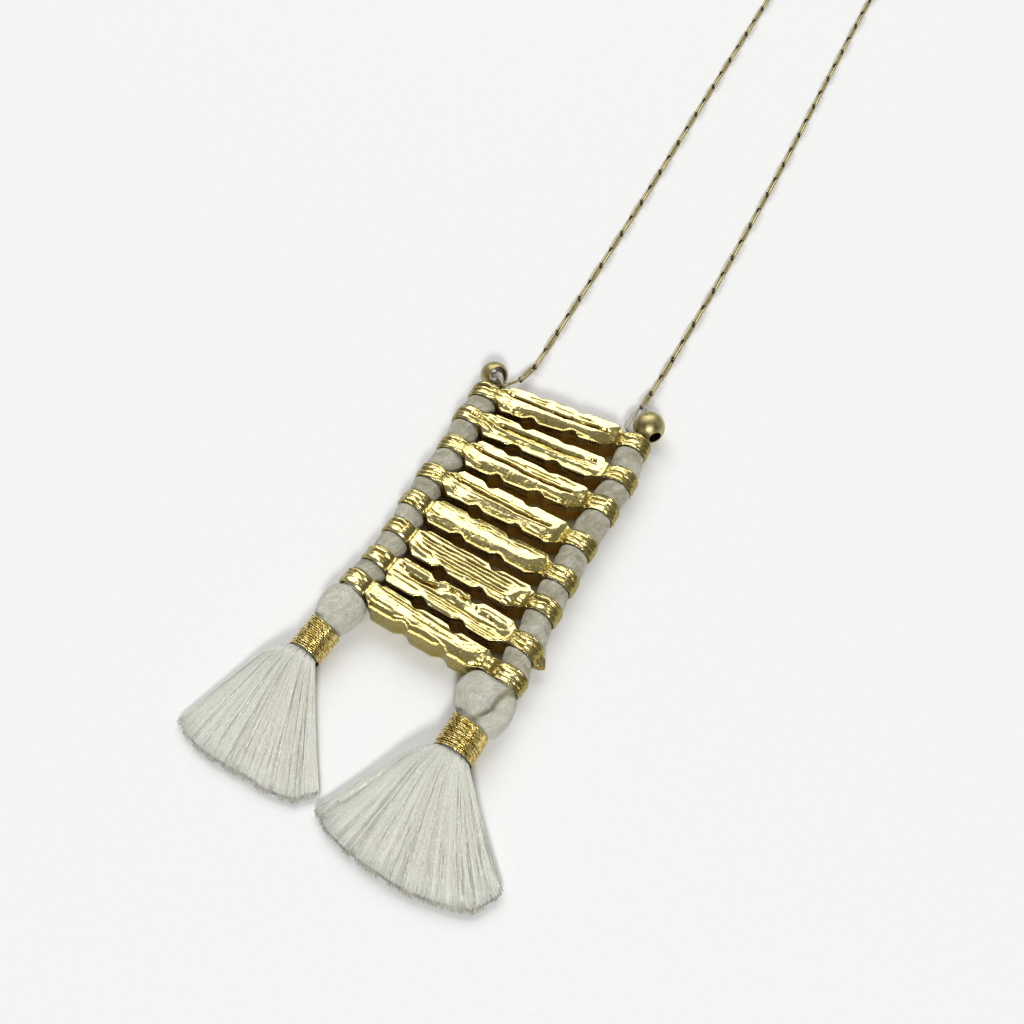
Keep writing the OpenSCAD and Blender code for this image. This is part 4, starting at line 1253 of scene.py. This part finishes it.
def tassel_threads(name, tassel, count, radius, start, stations, levels, gather, seed):
    """A tassel's loose threads, gathered into locks. Each is a thin closed tube from start, where the
    winding is 0 and the cut end 1, at a level between levels, more of them near the first level where
    gather is over 1."""
    rng = np.random.default_rng(seed)
    sides = 3
    middles = np.sort(rng.uniform(-1, 1, LOCKS) * 0.3 + np.linspace(-1, 1, LOCKS) * 0.98)
    lock_wander, lock_bend, lock_shade = (rng.normal(0, spread, LOCKS) for spread in (0.012, 0.01, 0.06))
    points, faces, shade, run = [], [], [], []
    steps = np.linspace(start, 1, stations)
    out = np.clip(steps, 0, None)
    for i in range(count):
        lock = rng.integers(0, LOCKS)
        off = np.clip(rng.normal(0, 0.5), -1, 1)
        own = rng.normal(0, 1, 3)
        at = middles[lock] + off * (2.3 / LOCKS) * (1.5 - 0.5 * out)
        at = at + (lock_wander[lock] + 0.016 * own[0]) * out
        at = np.clip(at + (lock_bend[lock] + 0.008 * own[1]) * np.sin(out * 5), -1, 1)
        depth = rng.uniform(0, 1) ** gather
        level = levels[0] + (levels[1] - levels[0]) * depth
        # The cut end slopes: the threads on top are a little shorter than those beneath
        lower = smooth_step(0.95 - level, 0.0, 1.0)
        reach = np.where(steps > 0, steps * (CUT_SLOPE + (0.997 - CUT_SLOPE) * lower + 0.004 * own[2]), steps)
        path = fan_place(tassel, at, np.minimum(reach, 1), level, -radius)
        path[:, 2] += 0.05 * (1 - off * off) * smooth_step(out, 0.1, 0.5)
        ahead, side, up = path_frame(path)
        path += ahead * (np.maximum(reach - 1, 0) * 20)[:, None]
        width = radius * (0.8 + 0.45 * rng.random()) * np.where(out > 0.995, 0.75, 1.0)
        faces += tube_faces(stations, sides, i * stations * sides)
        points.append(tube_points(path, side, up, width, sides, math.pi / 2))
        # Painted highlight: one thread in five is lighter, as if its gloss lay towards the light; the left
        # edge is lighter
        tone = 0.44 + 0.4 * smooth_step(rng.normal(), 0.6, 1.4) + 0.08 * smooth_step(-at[0], 0.0, 0.9)
        # Painted shade on the threads beneath, lighter tips, and painted shade on the lower threads at the
        # cut end
        tone = tone + lock_shade[lock] - 0.1 * depth + 0.1 * smooth_step(out, 0.93, 1.0)
        tone = tone - 0.24 * smooth_step(lower, 0.0, 0.5) * smooth_step(out, 0.86, 0.95)
        shade.append(np.repeat(np.clip(tone, 0, 1), sides))
        place = np.stack([np.full(stations, i * 3.7), np.zeros(stations), 2.2 * distances(path)], axis=1)
        run.append(np.repeat(place, sides, axis=0))
    flat = np.concatenate(points)
    flat[:, 2] = np.maximum(flat[:, 2], 0.01)
    obj = mesh_object(name, placed(flat), faces)
    store(obj.data, "shade", np.concatenate(shade))
    store(obj.data, "thread_place", np.concatenate(run))
    return obj


def wound_turns(name, tassel, turns, seed, slant):
    """A winding: one ring of thread after the next, each a little uneven and slightly tilted."""
    top, end, wrap_r = tassel[:3]
    way = np.array([end[0] - top[0], end[1] - top[1], 0.0])
    length = np.linalg.norm(way)
    way = way / length
    side = np.array([-way[1], way[0], 0.0])
    thick = length / turns / 2
    rng = np.random.default_rng(seed)
    deselect()
    bpy.ops.mesh.primitive_torus_add(
        major_radius=wrap_r - thick, minor_radius=thick * 1.04, major_segments=96, minor_segments=10
    )
    ring = bpy.context.object
    base = coordinates(ring.data)
    faces = [tuple(p.vertices) for p in ring.data.polygons]
    bpy.data.objects.remove(ring)
    turn = np.arctan2(base[:, 1], base[:, 0])
    points, all_faces, twist, crown = [], [], [], []
    for k in range(turns):
        place = base.copy()
        far = np.hypot(place[:, 0], place[:, 1])
        lean = rng.normal(0, 0.03)
        wave = 0.04 * grain(np.cos(turn) * 2, np.sin(turn) * 2, k * 3.7, seed)
        slack = 0.03 * grain(np.cos(turn) * 3, np.sin(turn) * 3, k * 5.1, seed + 2)
        slack = -0.06 * rng.random() + slack - 0.03
        place[:, :2] *= ((far + slack) / far)[:, None]
        # The first turns lie further down on the side that the cord leans to
        late = smooth_step(0.8 * place[:, 0] + 0.6 * place[:, 1], -0.5 * wrap_r, 0.9 * wrap_r)
        late = slant * late * (1 - k / turns) ** 1.5
        at = (2 * k + 1) * thick + place[:, 2] + lean * np.cos(turn + k) + wave + late
        at = np.clip(at, 0.02, length - 0.02)
        xyz = np.array([*top, wrap_r]) + way * at[:, None] + side * place[:, 0:1]
        xyz = xyz + np.array([0, 0, 1.0]) * place[:, 1:2]
        xyz[:, 2] = np.clip(xyz[:, 2], 0.01, 2 * wrap_r)
        points.append(xyz)
        all_faces += [tuple(i + k * len(base) for i in f) for f in faces]
        round_way = turn * wrap_r + 12.93 * k + 1.2 * rng.random() + 2.4 * place[:, 2]
        twist.append(np.stack([round_way, place[:, 2] * 2, np.full(len(base), k * 1.7)], axis=1))
        crown.append((np.hypot(base[:, 0], base[:, 1]) - wrap_r + thick) / thick)
    obj = mesh_object(name, placed(np.concatenate(points)), all_faces)
    store(obj.data, "twist_place", np.concatenate(twist))
    store(obj.data, "crown", np.concatenate(crown))
    face_outwards(obj)
    return obj


def plied_thread(name, points, seed):
    """A thin yarn of plies along points that carry their radius."""
    rows = along(curve_points(points, 8), THREAD_STEP)
    path, radius = rows[:, :3], rows[:, 3]
    _, side, up = path_frame(path)
    count = len(rows)
    run = np.arange(count) * THREAD_STEP
    far, edge = np.repeat(run, PLY_SIDES), np.tile(np.arange(PLY_SIDES), count)
    out, faces, fibre, relief = [], [], [], []
    for p in range(PLIES):
        turn = 2 * math.pi * p / PLIES + run * 1.1
        off, rise = radius * PLY_AT * np.cos(turn), radius * PLY_AT * np.sin(turn)
        centre = path + off[:, None] * side + rise[:, None] * up
        out.append(tube_points(centre, side, up, radius * PLY_R, PLY_SIDES))
        faces += tube_faces(count, PLY_SIDES, p * count * PLY_SIDES)
        fibre.append(np.stack([edge * 0.3, np.full(len(far), p * 2.0), far], axis=1))
        relief.append(0.08 * grain(far * 2, p, edge, seed))
    obj = mesh_object(name, placed(np.concatenate(out)), faces)
    store(obj.data, "fibre_place", np.concatenate(fibre))
    store(obj.data, "relief", np.concatenate(relief))
    face_outwards(obj)
    return obj


def chain_joints(side):
    """Where the joints of one half of the chain lie."""
    count, way, _, route = CHAINS[side]
    path = list(route)
    for t in DROP_TURNS:
        x = DROP[0] + way * DROP[2] * math.cos(math.radians(t))
        y = DROP[1] - DROP[2] * math.sin(math.radians(t))
        path.append((x, y, CLASP_Z if t < -60 else CHAIN_Z))
    path = curve_points(path, 8)
    run = distances(path)
    places = np.arange(count + 1) * LINK_PITCH
    return np.stack([np.interp(places, run, path[:, k]) for k in range(3)], axis=1)


def link_turn(side, i):
    """How far a link is turned about the chain's run, in degrees, the opposite way to its neighbours."""
    first = CHAINS[side][2]
    return first if i % 2 == 0 else -first


def model_link():
    """One long link: a ring of wire, pulled apart at its middle, with its sides pressed together and
    upset thicker, so that only a fine line is left between them and an eye at each end."""
    deselect()
    bpy.ops.mesh.primitive_torus_add(
        major_radius=LINK_R, minor_radius=LINK_PRESSED, major_segments=12, minor_segments=5
    )
    link = bpy.context.object
    stretch = LINK_PITCH / 2 + LINK_REACH - LINK_R
    co = coordinates(link.data)
    co[:, 0] += np.where(co[:, 0] > 0.01, stretch, np.where(co[:, 0] < -0.01, -stretch, 0))
    set_coordinates(link.data, co)
    long_edges = [abs(co[e.vertices[0], 0] - co[e.vertices[1], 0]) > 1 for e in link.data.edges]
    bpy.ops.object.mode_set(mode="EDIT")
    bpy.ops.mesh.select_mode(type="EDGE")
    bpy.ops.mesh.select_all(action="DESELECT")
    bpy.ops.object.mode_set(mode="OBJECT")
    link.data.edges.foreach_set("select", long_edges)
    bpy.ops.object.mode_set(mode="EDIT")
    bpy.ops.mesh.subdivide(number_cuts=2)
    bpy.ops.mesh.select_mode(type="VERT")
    bpy.ops.object.mode_set(mode="OBJECT")
    co = coordinates(link.data)
    x, y = np.abs(co[:, 0]), co[:, 1]
    for low, high, place in ((0.3, 1.1, LINK_CUTS[0]), (1.1, 1.9, LINK_CUTS[1])):
        co[:, 0] = np.where((x > low) & (x < high), np.sign(co[:, 0]) * place, co[:, 0])
    x = np.abs(co[:, 0])
    pressed = 1 - smooth_step(x, LINK_CUTS[0] - 0.05, LINK_CUTS[1] + 0.2)
    inner = np.clip((LINK_R + LINK_PRESSED - np.abs(y)) / (2 * LINK_PRESSED), 0, 1)
    tip = smooth_step(x, stretch - 0.2, stretch + 0.3)
    co[:, 1] = np.sign(y) * (np.abs(y) - 0.205 * pressed * inner) * (1 + 0.06 * pressed + 0.1 * tip)
    co[:, 2] *= 0.9 + 0.36 * pressed
    set_coordinates(link.data, co)
    # Colour: darker eyes and tips where the links join, patina in the groove, and painted shade along the
    # pressed sides' outer edges
    groove = smooth_step(inner, 0.6, 1.0)
    edge = 1 - smooth_step(inner, 0.0, 0.35)
    eye = smooth_step(x, LINK_CUTS[1] - 0.1, LINK_CUTS[1] + 0.3) * inner
    store(link.data, "wear_and_shade", 0.5 - 0.7 * eye - 0.12 * tip - pressed * (0.4 * groove + 0.35 * edge))
    return link


def direction(vector):
    """A vector of length 1 that points the same way."""
    return vector / np.linalg.norm(vector)


def turned_profile(name, profile, steps):
    """A closed outline of radius and height, turned round the Z axis."""
    mesh = bpy.data.meshes.new(name)
    edges = [(i, (i + 1) % len(profile)) for i in range(len(profile))]
    mesh.from_pydata([(r, 0, z) for r, z in profile], edges, [])
    obj = bpy.data.objects.new(name, mesh)
    bpy.context.collection.objects.link(obj)
    screw = obj.modifiers.new("turn", "SCREW")
    screw.steps = steps
    screw.render_steps = steps
    screw.use_merge_vertices = True
    screw.merge_threshold = 1e-4
    finish_modifiers(obj)
    bpy.ops.object.mode_set(mode="EDIT")
    bpy.ops.mesh.select_all(action="SELECT")
    bpy.ops.mesh.remove_doubles(threshold=1e-4)
    face_outwards(obj)
    return obj


class NecklaceSizes(bpy.types.PropertyGroup):
    """Sizes that a user may change."""

    relief: bpy.props.FloatProperty(
        name="Relief", description="Depth of the bars' cast relief, as a share of the real one",
        default=1.0, min=0.3, max=1.5,
    )
    detail: bpy.props.FloatProperty(
        name="Casting detail", description="Size of the smallest form on a bar, in millimetres",
        default=0.12, min=0.08, max=0.4,
    )
    twist: bpy.props.FloatProperty(
        name="Yarn twist", description="Turn of the cords' fibres for each millimetre, in radians",
        default=0.2, min=0.0, max=0.6,
    )
    threads: bpy.props.IntProperty(
        name="Tassel threads", description="Loose threads on each tassel", default=2400, min=100, max=3000
    )
    thread_radius: bpy.props.FloatProperty(
        name="Tassel thread radius", description="Radius of one thread, in millimetres",
        default=0.065, min=0.04, max=0.2,
    )
    turns: bpy.props.IntProperty(
        name="Winding turns", description="Turns of metallic thread round each tassel's neck",
        default=16, min=14, max=20,
    )


def colour_property(name, description, code):
    """A colour that a user may change, given as an sRGB hex value."""
    return bpy.props.FloatVectorProperty(
        name=name, description=description, default=linear(code), size=4, min=0, max=1, subtype="COLOR"
    )


class NecklaceColours(bpy.types.PropertyGroup):
    """Colours that a user may change."""

    gold_light: colour_property("Gold, light", "Polished gold plate on the ridges", "#f1e19c")
    gold_mid: colour_property("Gold, middle", "Gold plate on the slopes", "#d9c56e")
    # Painted shade: the deep gold colours the bars' grooves, pits and facets
    gold_groove_shade: colour_property("Gold, deep", "Gold plate in the grooves", "#6c4c1c")
    # Painted shade: the colour of the eyes' flanks and of the wall that faces the tassels
    gold_flank_shade: colour_property("Gold, flanks", "Unpolished gold plate on the eyes' flanks", "#a59752")
    # Painted shade: the colour of the walls between the bars
    gold_shade: colour_property("Gold, walls", "Stained gold plate between the bars", "#b48a36")
    # The brass tones also carry painted shade along the links' outer edges
    brass_light: colour_property("Brass, light", "Rubbed antique brass", "#e0d8b2")
    brass_mid: colour_property("Brass, middle", "Antique brass", "#b3a673")
    brass_dark: colour_property("Brass, dark", "Stain left in antique brass", "#544019")
    # The cotton tones also carry painted shade where the yarn lies low and painted light where it stands up
    cotton: colour_property("Cotton", "Cotton yarn", "#cac7b4")
    cotton_light: colour_property("Cotton, light", "Cotton fibres that stand out", "#eae8dc")
    cotton_shade: colour_property("Cotton, shade", "Cotton between the fibres", "#9e987c")
    # The silk's light and shade tones carry painted highlights and painted shade
    silk: colour_property("Silk", "Tassel threads", "#d1d1c3")
    silk_light: colour_property("Silk, light", "Lightest tassel threads", "#faf9f2")
    silk_shade: colour_property("Silk, shade", "Darkest tassel threads", "#9c9882")
    # The foil's light and dark tones carry painted glints and painted shade between the turns
    foil: colour_property("Foil", "Gold foil of the metallic thread", "#cdae4c")
    foil_light: colour_property("Foil, light", "Foil where it catches the light", "#fff0a8")
    foil_dark: colour_property("Foil, dark", "Between the foil's turns", "#4a350b")


class NECKLACE_OT_bars(bpy.types.Operator):
    """Models the cast bars with their relief, notches and eyes"""

    bl_idname = "necklace.bars"
    bl_label = "Cast bars"

    def execute(self, context):
        sizes = context.scene.necklace_sizes
        material = cast_gold()
        for i, row in enumerate(BARS):
            span, turn = bar_frame(row)
            bar = rough_bar(row, span, i == SPUR_BAR)
            remesh = bar.modifiers.new("cast", "REMESH")
            remesh.mode = "VOXEL"
            remesh.voxel_size = sizes.detail
            soften = bar.modifiers.new("soften", "SMOOTH")
            soften.factor = 0.5
            soften.iterations = 5
            finish_modifiers(bar)
            carve(bar.data, row, span, i, sizes.relief)
            bar.vertex_groups.new(name="joints").add(joints(bar.data, span), 1.0, "REPLACE")
            blend = bar.modifiers.new("blend", "SMOOTH")
            blend.factor = 0.6
            blend.iterations = 6
            blend.vertex_group = "joints"
            finish_modifiers(bar)
            bar.vertex_groups.new(name="hidden").add(underside(bar.data, span), 1.0, "REPLACE")
            thin = bar.modifiers.new("thin", "DECIMATE")
            thin.ratio = FACES_KEPT
            thin.vertex_group = "hidden"
            finish_modifiers(bar)
            set_in_place(bar.data, (row[LEFT], row[LEFT + 1], 0), Matrix.Rotation(turn, 4, "Z"))
            finish_piece(bar, f"cast_bar_{i + 1}", material, "cast_gold", f"bar_{i + 1}")
        return {"FINISHED"}


class NECKLACE_OT_cords(bpy.types.Operator):
    """Models the two thick cotton cords through the bars' eyes"""

    bl_idname = "necklace.cords"
    bl_label = "Cotton cords"

    def execute(self, context):
        twist = context.scene.necklace_sizes.twist
        material = cotton_yarn()
        left = yarn("cotton_cord_left", cord_sections(LEFT, LEFT_END), twist, 41, strays=260)
        finish_piece(left, "cotton_cord_left", material, "cotton", "cord_left")
        right = yarn("cotton_cord_right", cord_sections(RIGHT, RIGHT_END), twist, 43, strays=260)
        fold = yarn("cotton_fold", RIGHT_FOLD, 0.12, 47, sides=60)
        shade_crease(right, fold)
        finish_piece(join([right, fold]), "cotton_cord_right", material, "cotton", "cord_right")
        return {"FINISHED"}


class NECKLACE_OT_tassels(bpy.types.Operator):
    """Models the two fanned tassels and their loose threads"""

    bl_idname = "necklace.tassels"
    bl_label = "Tassels"

    def execute(self, context):
        sizes = context.scene.necklace_sizes
        material = silk_thread()
        for n, (side, tassel) in enumerate(TASSELS.items()):
            parts = [tassel_core(f"tassel_body_{side}", tassel, 60 + n)]
            for kind, count, thread_run, seed in (
                ("threads", sizes.threads, LONG_RUN, 70 + n),
                ("ends", END_THREADS, SHORT_RUN, 75 + n),
            ):
                name = f"tassel_{kind}_{side}"
                parts.append(tassel_threads(name, tassel, count, sizes.thread_radius, *thread_run, seed))
            finish_piece(join(parts), f"silk_tassel_{side}", material, "silk", f"tassel_{side}")
        return {"FINISHED"}


class NECKLACE_OT_windings(bpy.types.Operator):
    """Models the windings of metallic thread round the tassels' necks"""

    bl_idname = "necklace.windings"
    bl_label = "Windings"

    def execute(self, context):
        material = metallic_thread()
        for n, (side, tassel) in enumerate(TASSELS.items()):
            winding = wound_turns(f"winding_{side}", tassel, context.scene.necklace_sizes.turns, 80 + n, 0.8)
            finish_piece(winding, f"gold_winding_{side}", material, "metallic_thread", f"wrap_{side}")
        return {"FINISHED"}


class NECKLACE_OT_beads(bpy.types.Operator):
    """Models the two round beads with their large holes"""

    bl_idname = "necklace.beads"
    bl_label = "Beads"

    def execute(self, context):
        material = made_once("Antiqued_brass", antique_brass)
        for n, (side, (at, radius, hole, bore)) in enumerate(BEADS.items()):
            edge = math.acos(bore / radius)
            turns = np.linspace(-edge + 0.05, edge - 0.05, 30)
            arc = [(radius * math.cos(a), radius * math.sin(a)) for a in turns]
            lip, mouth = radius * math.sin(edge), bore + 0.02
            tunnel = [(mouth, lip - 0.03), (bore, lip - 0.2), (bore, -lip + 0.2), (mouth, -lip + 0.03)]
            bead = turned_profile(f"bead_{side}", arc + tunnel, 64)
            co = coordinates(bead.data)
            uneven = 0.02 * grain(co[:, 0] * 1.2, co[:, 1] * 1.2, co[:, 2] * 1.2, 90 + n)
            inside = np.hypot(co[:, 0], co[:, 1]) < bore + 0.08
            store(bead.data, "wear_and_shade", np.where(inside, -0.25, 0.28 + 4 * uneven))
            far = np.linalg.norm(co, axis=1)
            co *= (1 + np.minimum(uneven, 0) / far)[:, None]
            set_coordinates(bead.data, co)
            lean = Vector((0, 0, 1)).rotation_difference(Vector(hole)).to_matrix().to_4x4()
            set_in_place(bead.data, at, lean)
            finish_piece(bead, f"brass_bead_{side}", material, "antique_brass", f"bead_{side}")
        return {"FINISHED"}


class NECKLACE_OT_threads(bpy.types.Operator):
    """Models the thin white yarns that tie the chain to the cords and beads"""

    bl_idname = "necklace.threads"
    bl_label = "Tie threads"

    def execute(self, context):
        material = made_once("Twisted_cotton_yarn", cotton_yarn)
        for n, (side, points) in enumerate(THREADS.items()):
            yarn_piece = plied_thread(f"tie_{side}", points, 100 + n)
            finish_piece(yarn_piece, f"tie_thread_{side}", material, "cotton", f"thread_{side}")
        return {"FINISHED"}


class NECKLACE_OT_chain(bpy.types.Operator):
    """Models the long-link chain, one link copied along each half"""

    bl_idname = "necklace.chain"
    bl_label = "Chain"

    def execute(self, context):
        material = made_once("Antiqued_brass", antique_brass)
        link = model_link()
        for side, (count, *_) in CHAINS.items():
            ends = chain_joints(side)
            copies = []
            for i in range(count):
                a, b = ends[i], ends[i + 1]
                x = direction(b - a)
                y = direction(np.cross([0, 0, 1.0], x))
                z = np.cross(x, y)
                settle = min(1, i / 4, (count - 1 - i) / 4)
                turn = math.radians(link_turn(side, i) + LINK_LEAN * settle)
                y, z = y * math.cos(turn) + z * math.sin(turn), z * math.cos(turn) - y * math.sin(turn)
                mesh = link.data.copy()
                set_in_place(mesh, (a + b) / 2, Matrix(np.stack([x, y, z], axis=1).tolist()).to_4x4())
                copy = bpy.data.objects.new(f"link_{side}_{i}", mesh)
                context.collection.objects.link(copy)
                copies.append(copy)
            finish_piece(join(copies), f"long_link_chain_{side}", material, "antique_brass", f"chain_{side}")
        bpy.data.objects.remove(link)
        return {"FINISHED"}


class NECKLACE_OT_clasp(bpy.types.Operator):
    """Models the plain clasp that closes the chain"""

    bl_idname = "necklace.clasp"
    bl_label = "Clasp"

    def execute(self, context):
        material = made_once("Antiqued_brass", antique_brass)
        a, b = chain_joints("left")[-1], chain_joints("right")[-1]
        reach = np.linalg.norm(b - a)
        far_end = [(r, reach - h) for r, h in CLASP_END[::-1]]
        body = turned_profile("clasp_body", [*CLASP_END, *far_end], 48)
        store(body.data, "wear_and_shade", np.full(len(body.data.vertices), 0.3))
        body.data.transform(Matrix.Rotation(math.pi / 2, 4, "Y"))
        parts = [body]
        last_left, last_right = (link_turn(side, CHAINS[side][0] - 1) for side in ("left", "right"))
        for at, lean in ((RING_R - RING_LAP, -last_left), (reach - RING_R + RING_LAP, last_right)):
            deselect()
            bpy.ops.mesh.primitive_torus_add(
                major_radius=RING_R, minor_radius=RING_WIRE, major_segments=32, minor_segments=10,
                location=(at, 0, CLASP_Z - CLASP_MIDDLE), rotation=(math.radians(lean), 0, 0),
            )
            bpy.ops.object.transform_apply(location=True, rotation=True, scale=True)
            ring = bpy.context.object
            store(ring.data, "wear_and_shade", np.full(len(ring.data.vertices), 0.2))
            parts.append(ring)
        clasp = join(parts)
        turn = math.atan2(b[1] - a[1], b[0] - a[0])
        set_in_place(clasp.data, (a[0], a[1], CLASP_MIDDLE), Matrix.Rotation(turn, 4, "Z"))
        finish_piece(clasp, "plain_clasp", material, "antique_brass", "clasp")
        return {"FINISHED"}


class NECKLACE_OT_stage(bpy.types.Operator):
    """Sets the floor, the studio light and the camera"""

    bl_idname = "necklace.stage"
    bl_label = "Stage"

    def execute(self, context):
        scene = context.scene
        deselect()
        bpy.ops.mesh.primitive_plane_add(size=8, location=(0, 0, -0.0001))
        floor = bpy.context.object
        floor.name = "floor"
        bpy.ops.object.transform_apply(location=True, rotation=True, scale=True)
        material, tree, surface = new_material("White_paper", Roughness=0.9, Specular_IOR_Level=0.1)
        fibres = noise(tree, add_node(tree, "ShaderNodeTexCoord").outputs["Object"], 900.0, 2.0)
        tone = colour_ramp(tree, fibres, (0.3, linear("#f7f7f6")), (0.7, linear("#f9f9f8")))
        feed(tree, surface, {"Base Color": tone})
        floor.data.materials.append(material)

        world = bpy.data.worlds.new("studio")
        scene.world = world
        world.use_nodes = True
        world.node_tree.nodes["Background"].inputs[0].default_value = linear("#ffffff")
        world.node_tree.nodes["Background"].inputs[1].default_value = SKY_LIGHT

        turn, down = math.radians(CAMERA_TURN), math.radians(CAMERA_DOWN)
        ahead = Vector((math.cos(turn), math.sin(turn), 0))
        middle = Vector(placed((0, 0, 0)))
        for name, way, high, far, wide, tall, power in LAMPS:
            rise = math.radians(high)
            back = ahead * way * math.cos(rise) + Vector((0, 0, math.sin(rise)))
            light = bpy.data.lights.new(name, "AREA")
            light.shape = "RECTANGLE"
            light.size, light.size_y = wide, tall
            light.energy = power
            lamp = bpy.data.objects.new(name, light)
            lamp.matrix_world = aimed(middle + back * far, -back)
            context.collection.objects.link(lamp)

        look = ahead * math.cos(down) - Vector((0, 0, math.sin(down)))
        data = bpy.data.cameras.new("camera")
        data.sensor_width = 36
        data.lens = 36 * FOCAL_SHARE
        data.clip_start = 0.01
        camera = bpy.data.objects.new("camera", data)
        camera.matrix_world = aimed(placed(CAMERA_AT), look)
        context.collection.objects.link(camera)
        scene.camera = camera
        scene.view_settings.view_transform = "Standard"
        return {"FINISHED"}


PIECES = (
    NECKLACE_OT_bars,
    NECKLACE_OT_cords,
    NECKLACE_OT_windings,
    NECKLACE_OT_tassels,
    NECKLACE_OT_beads,
    NECKLACE_OT_threads,
    NECKLACE_OT_chain,
    NECKLACE_OT_clasp,
    NECKLACE_OT_stage,
)


class NECKLACE_PT_pieces(bpy.types.Panel):
    """Lists the necklace's pieces, sizes and colours"""

    bl_label = "Pendant necklace"
    bl_idname = "NECKLACE_PT_pieces"
    bl_space_type = "VIEW_3D"
    bl_region_type = "UI"
    bl_category = "Necklace"

    def draw(self, context):
        """Draws a button for each piece, and the values that a user may change."""
        for operator in PIECES:
            self.layout.operator(operator.bl_idname)
        for group in (context.scene.necklace_sizes, context.scene.necklace_colours):
            box = self.layout.box()
            for key in group.__class__.__annotations__:
                box.prop(group, key)


CLASSES = (NecklaceSizes, NecklaceColours, *PIECES, NECKLACE_PT_pieces)


def register():
    """Adds the operators, the panel and the values that a user may change."""
    for cls in CLASSES:
        bpy.utils.register_class(cls)
    bpy.types.Scene.necklace_sizes = bpy.props.PointerProperty(type=NecklaceSizes)
    bpy.types.Scene.necklace_colours = bpy.props.PointerProperty(type=NecklaceColours)


def unregister():
    """Takes the values, the panel and the operators out again."""
    del bpy.types.Scene.necklace_colours
    del bpy.types.Scene.necklace_sizes
    for cls in reversed(CLASSES):
        bpy.utils.unregister_class(cls)


def main():
    """Builds every piece and the stage."""
    register()
    bpy.ops.necklace.bars()
    bpy.ops.necklace.cords()
    bpy.ops.necklace.windings()
    bpy.ops.necklace.tassels()
    bpy.ops.necklace.beads()
    bpy.ops.necklace.threads()
    bpy.ops.necklace.chain()
    bpy.ops.necklace.clasp()
    bpy.ops.necklace.stage()
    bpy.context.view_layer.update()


if __name__ == "__main__":
    main()
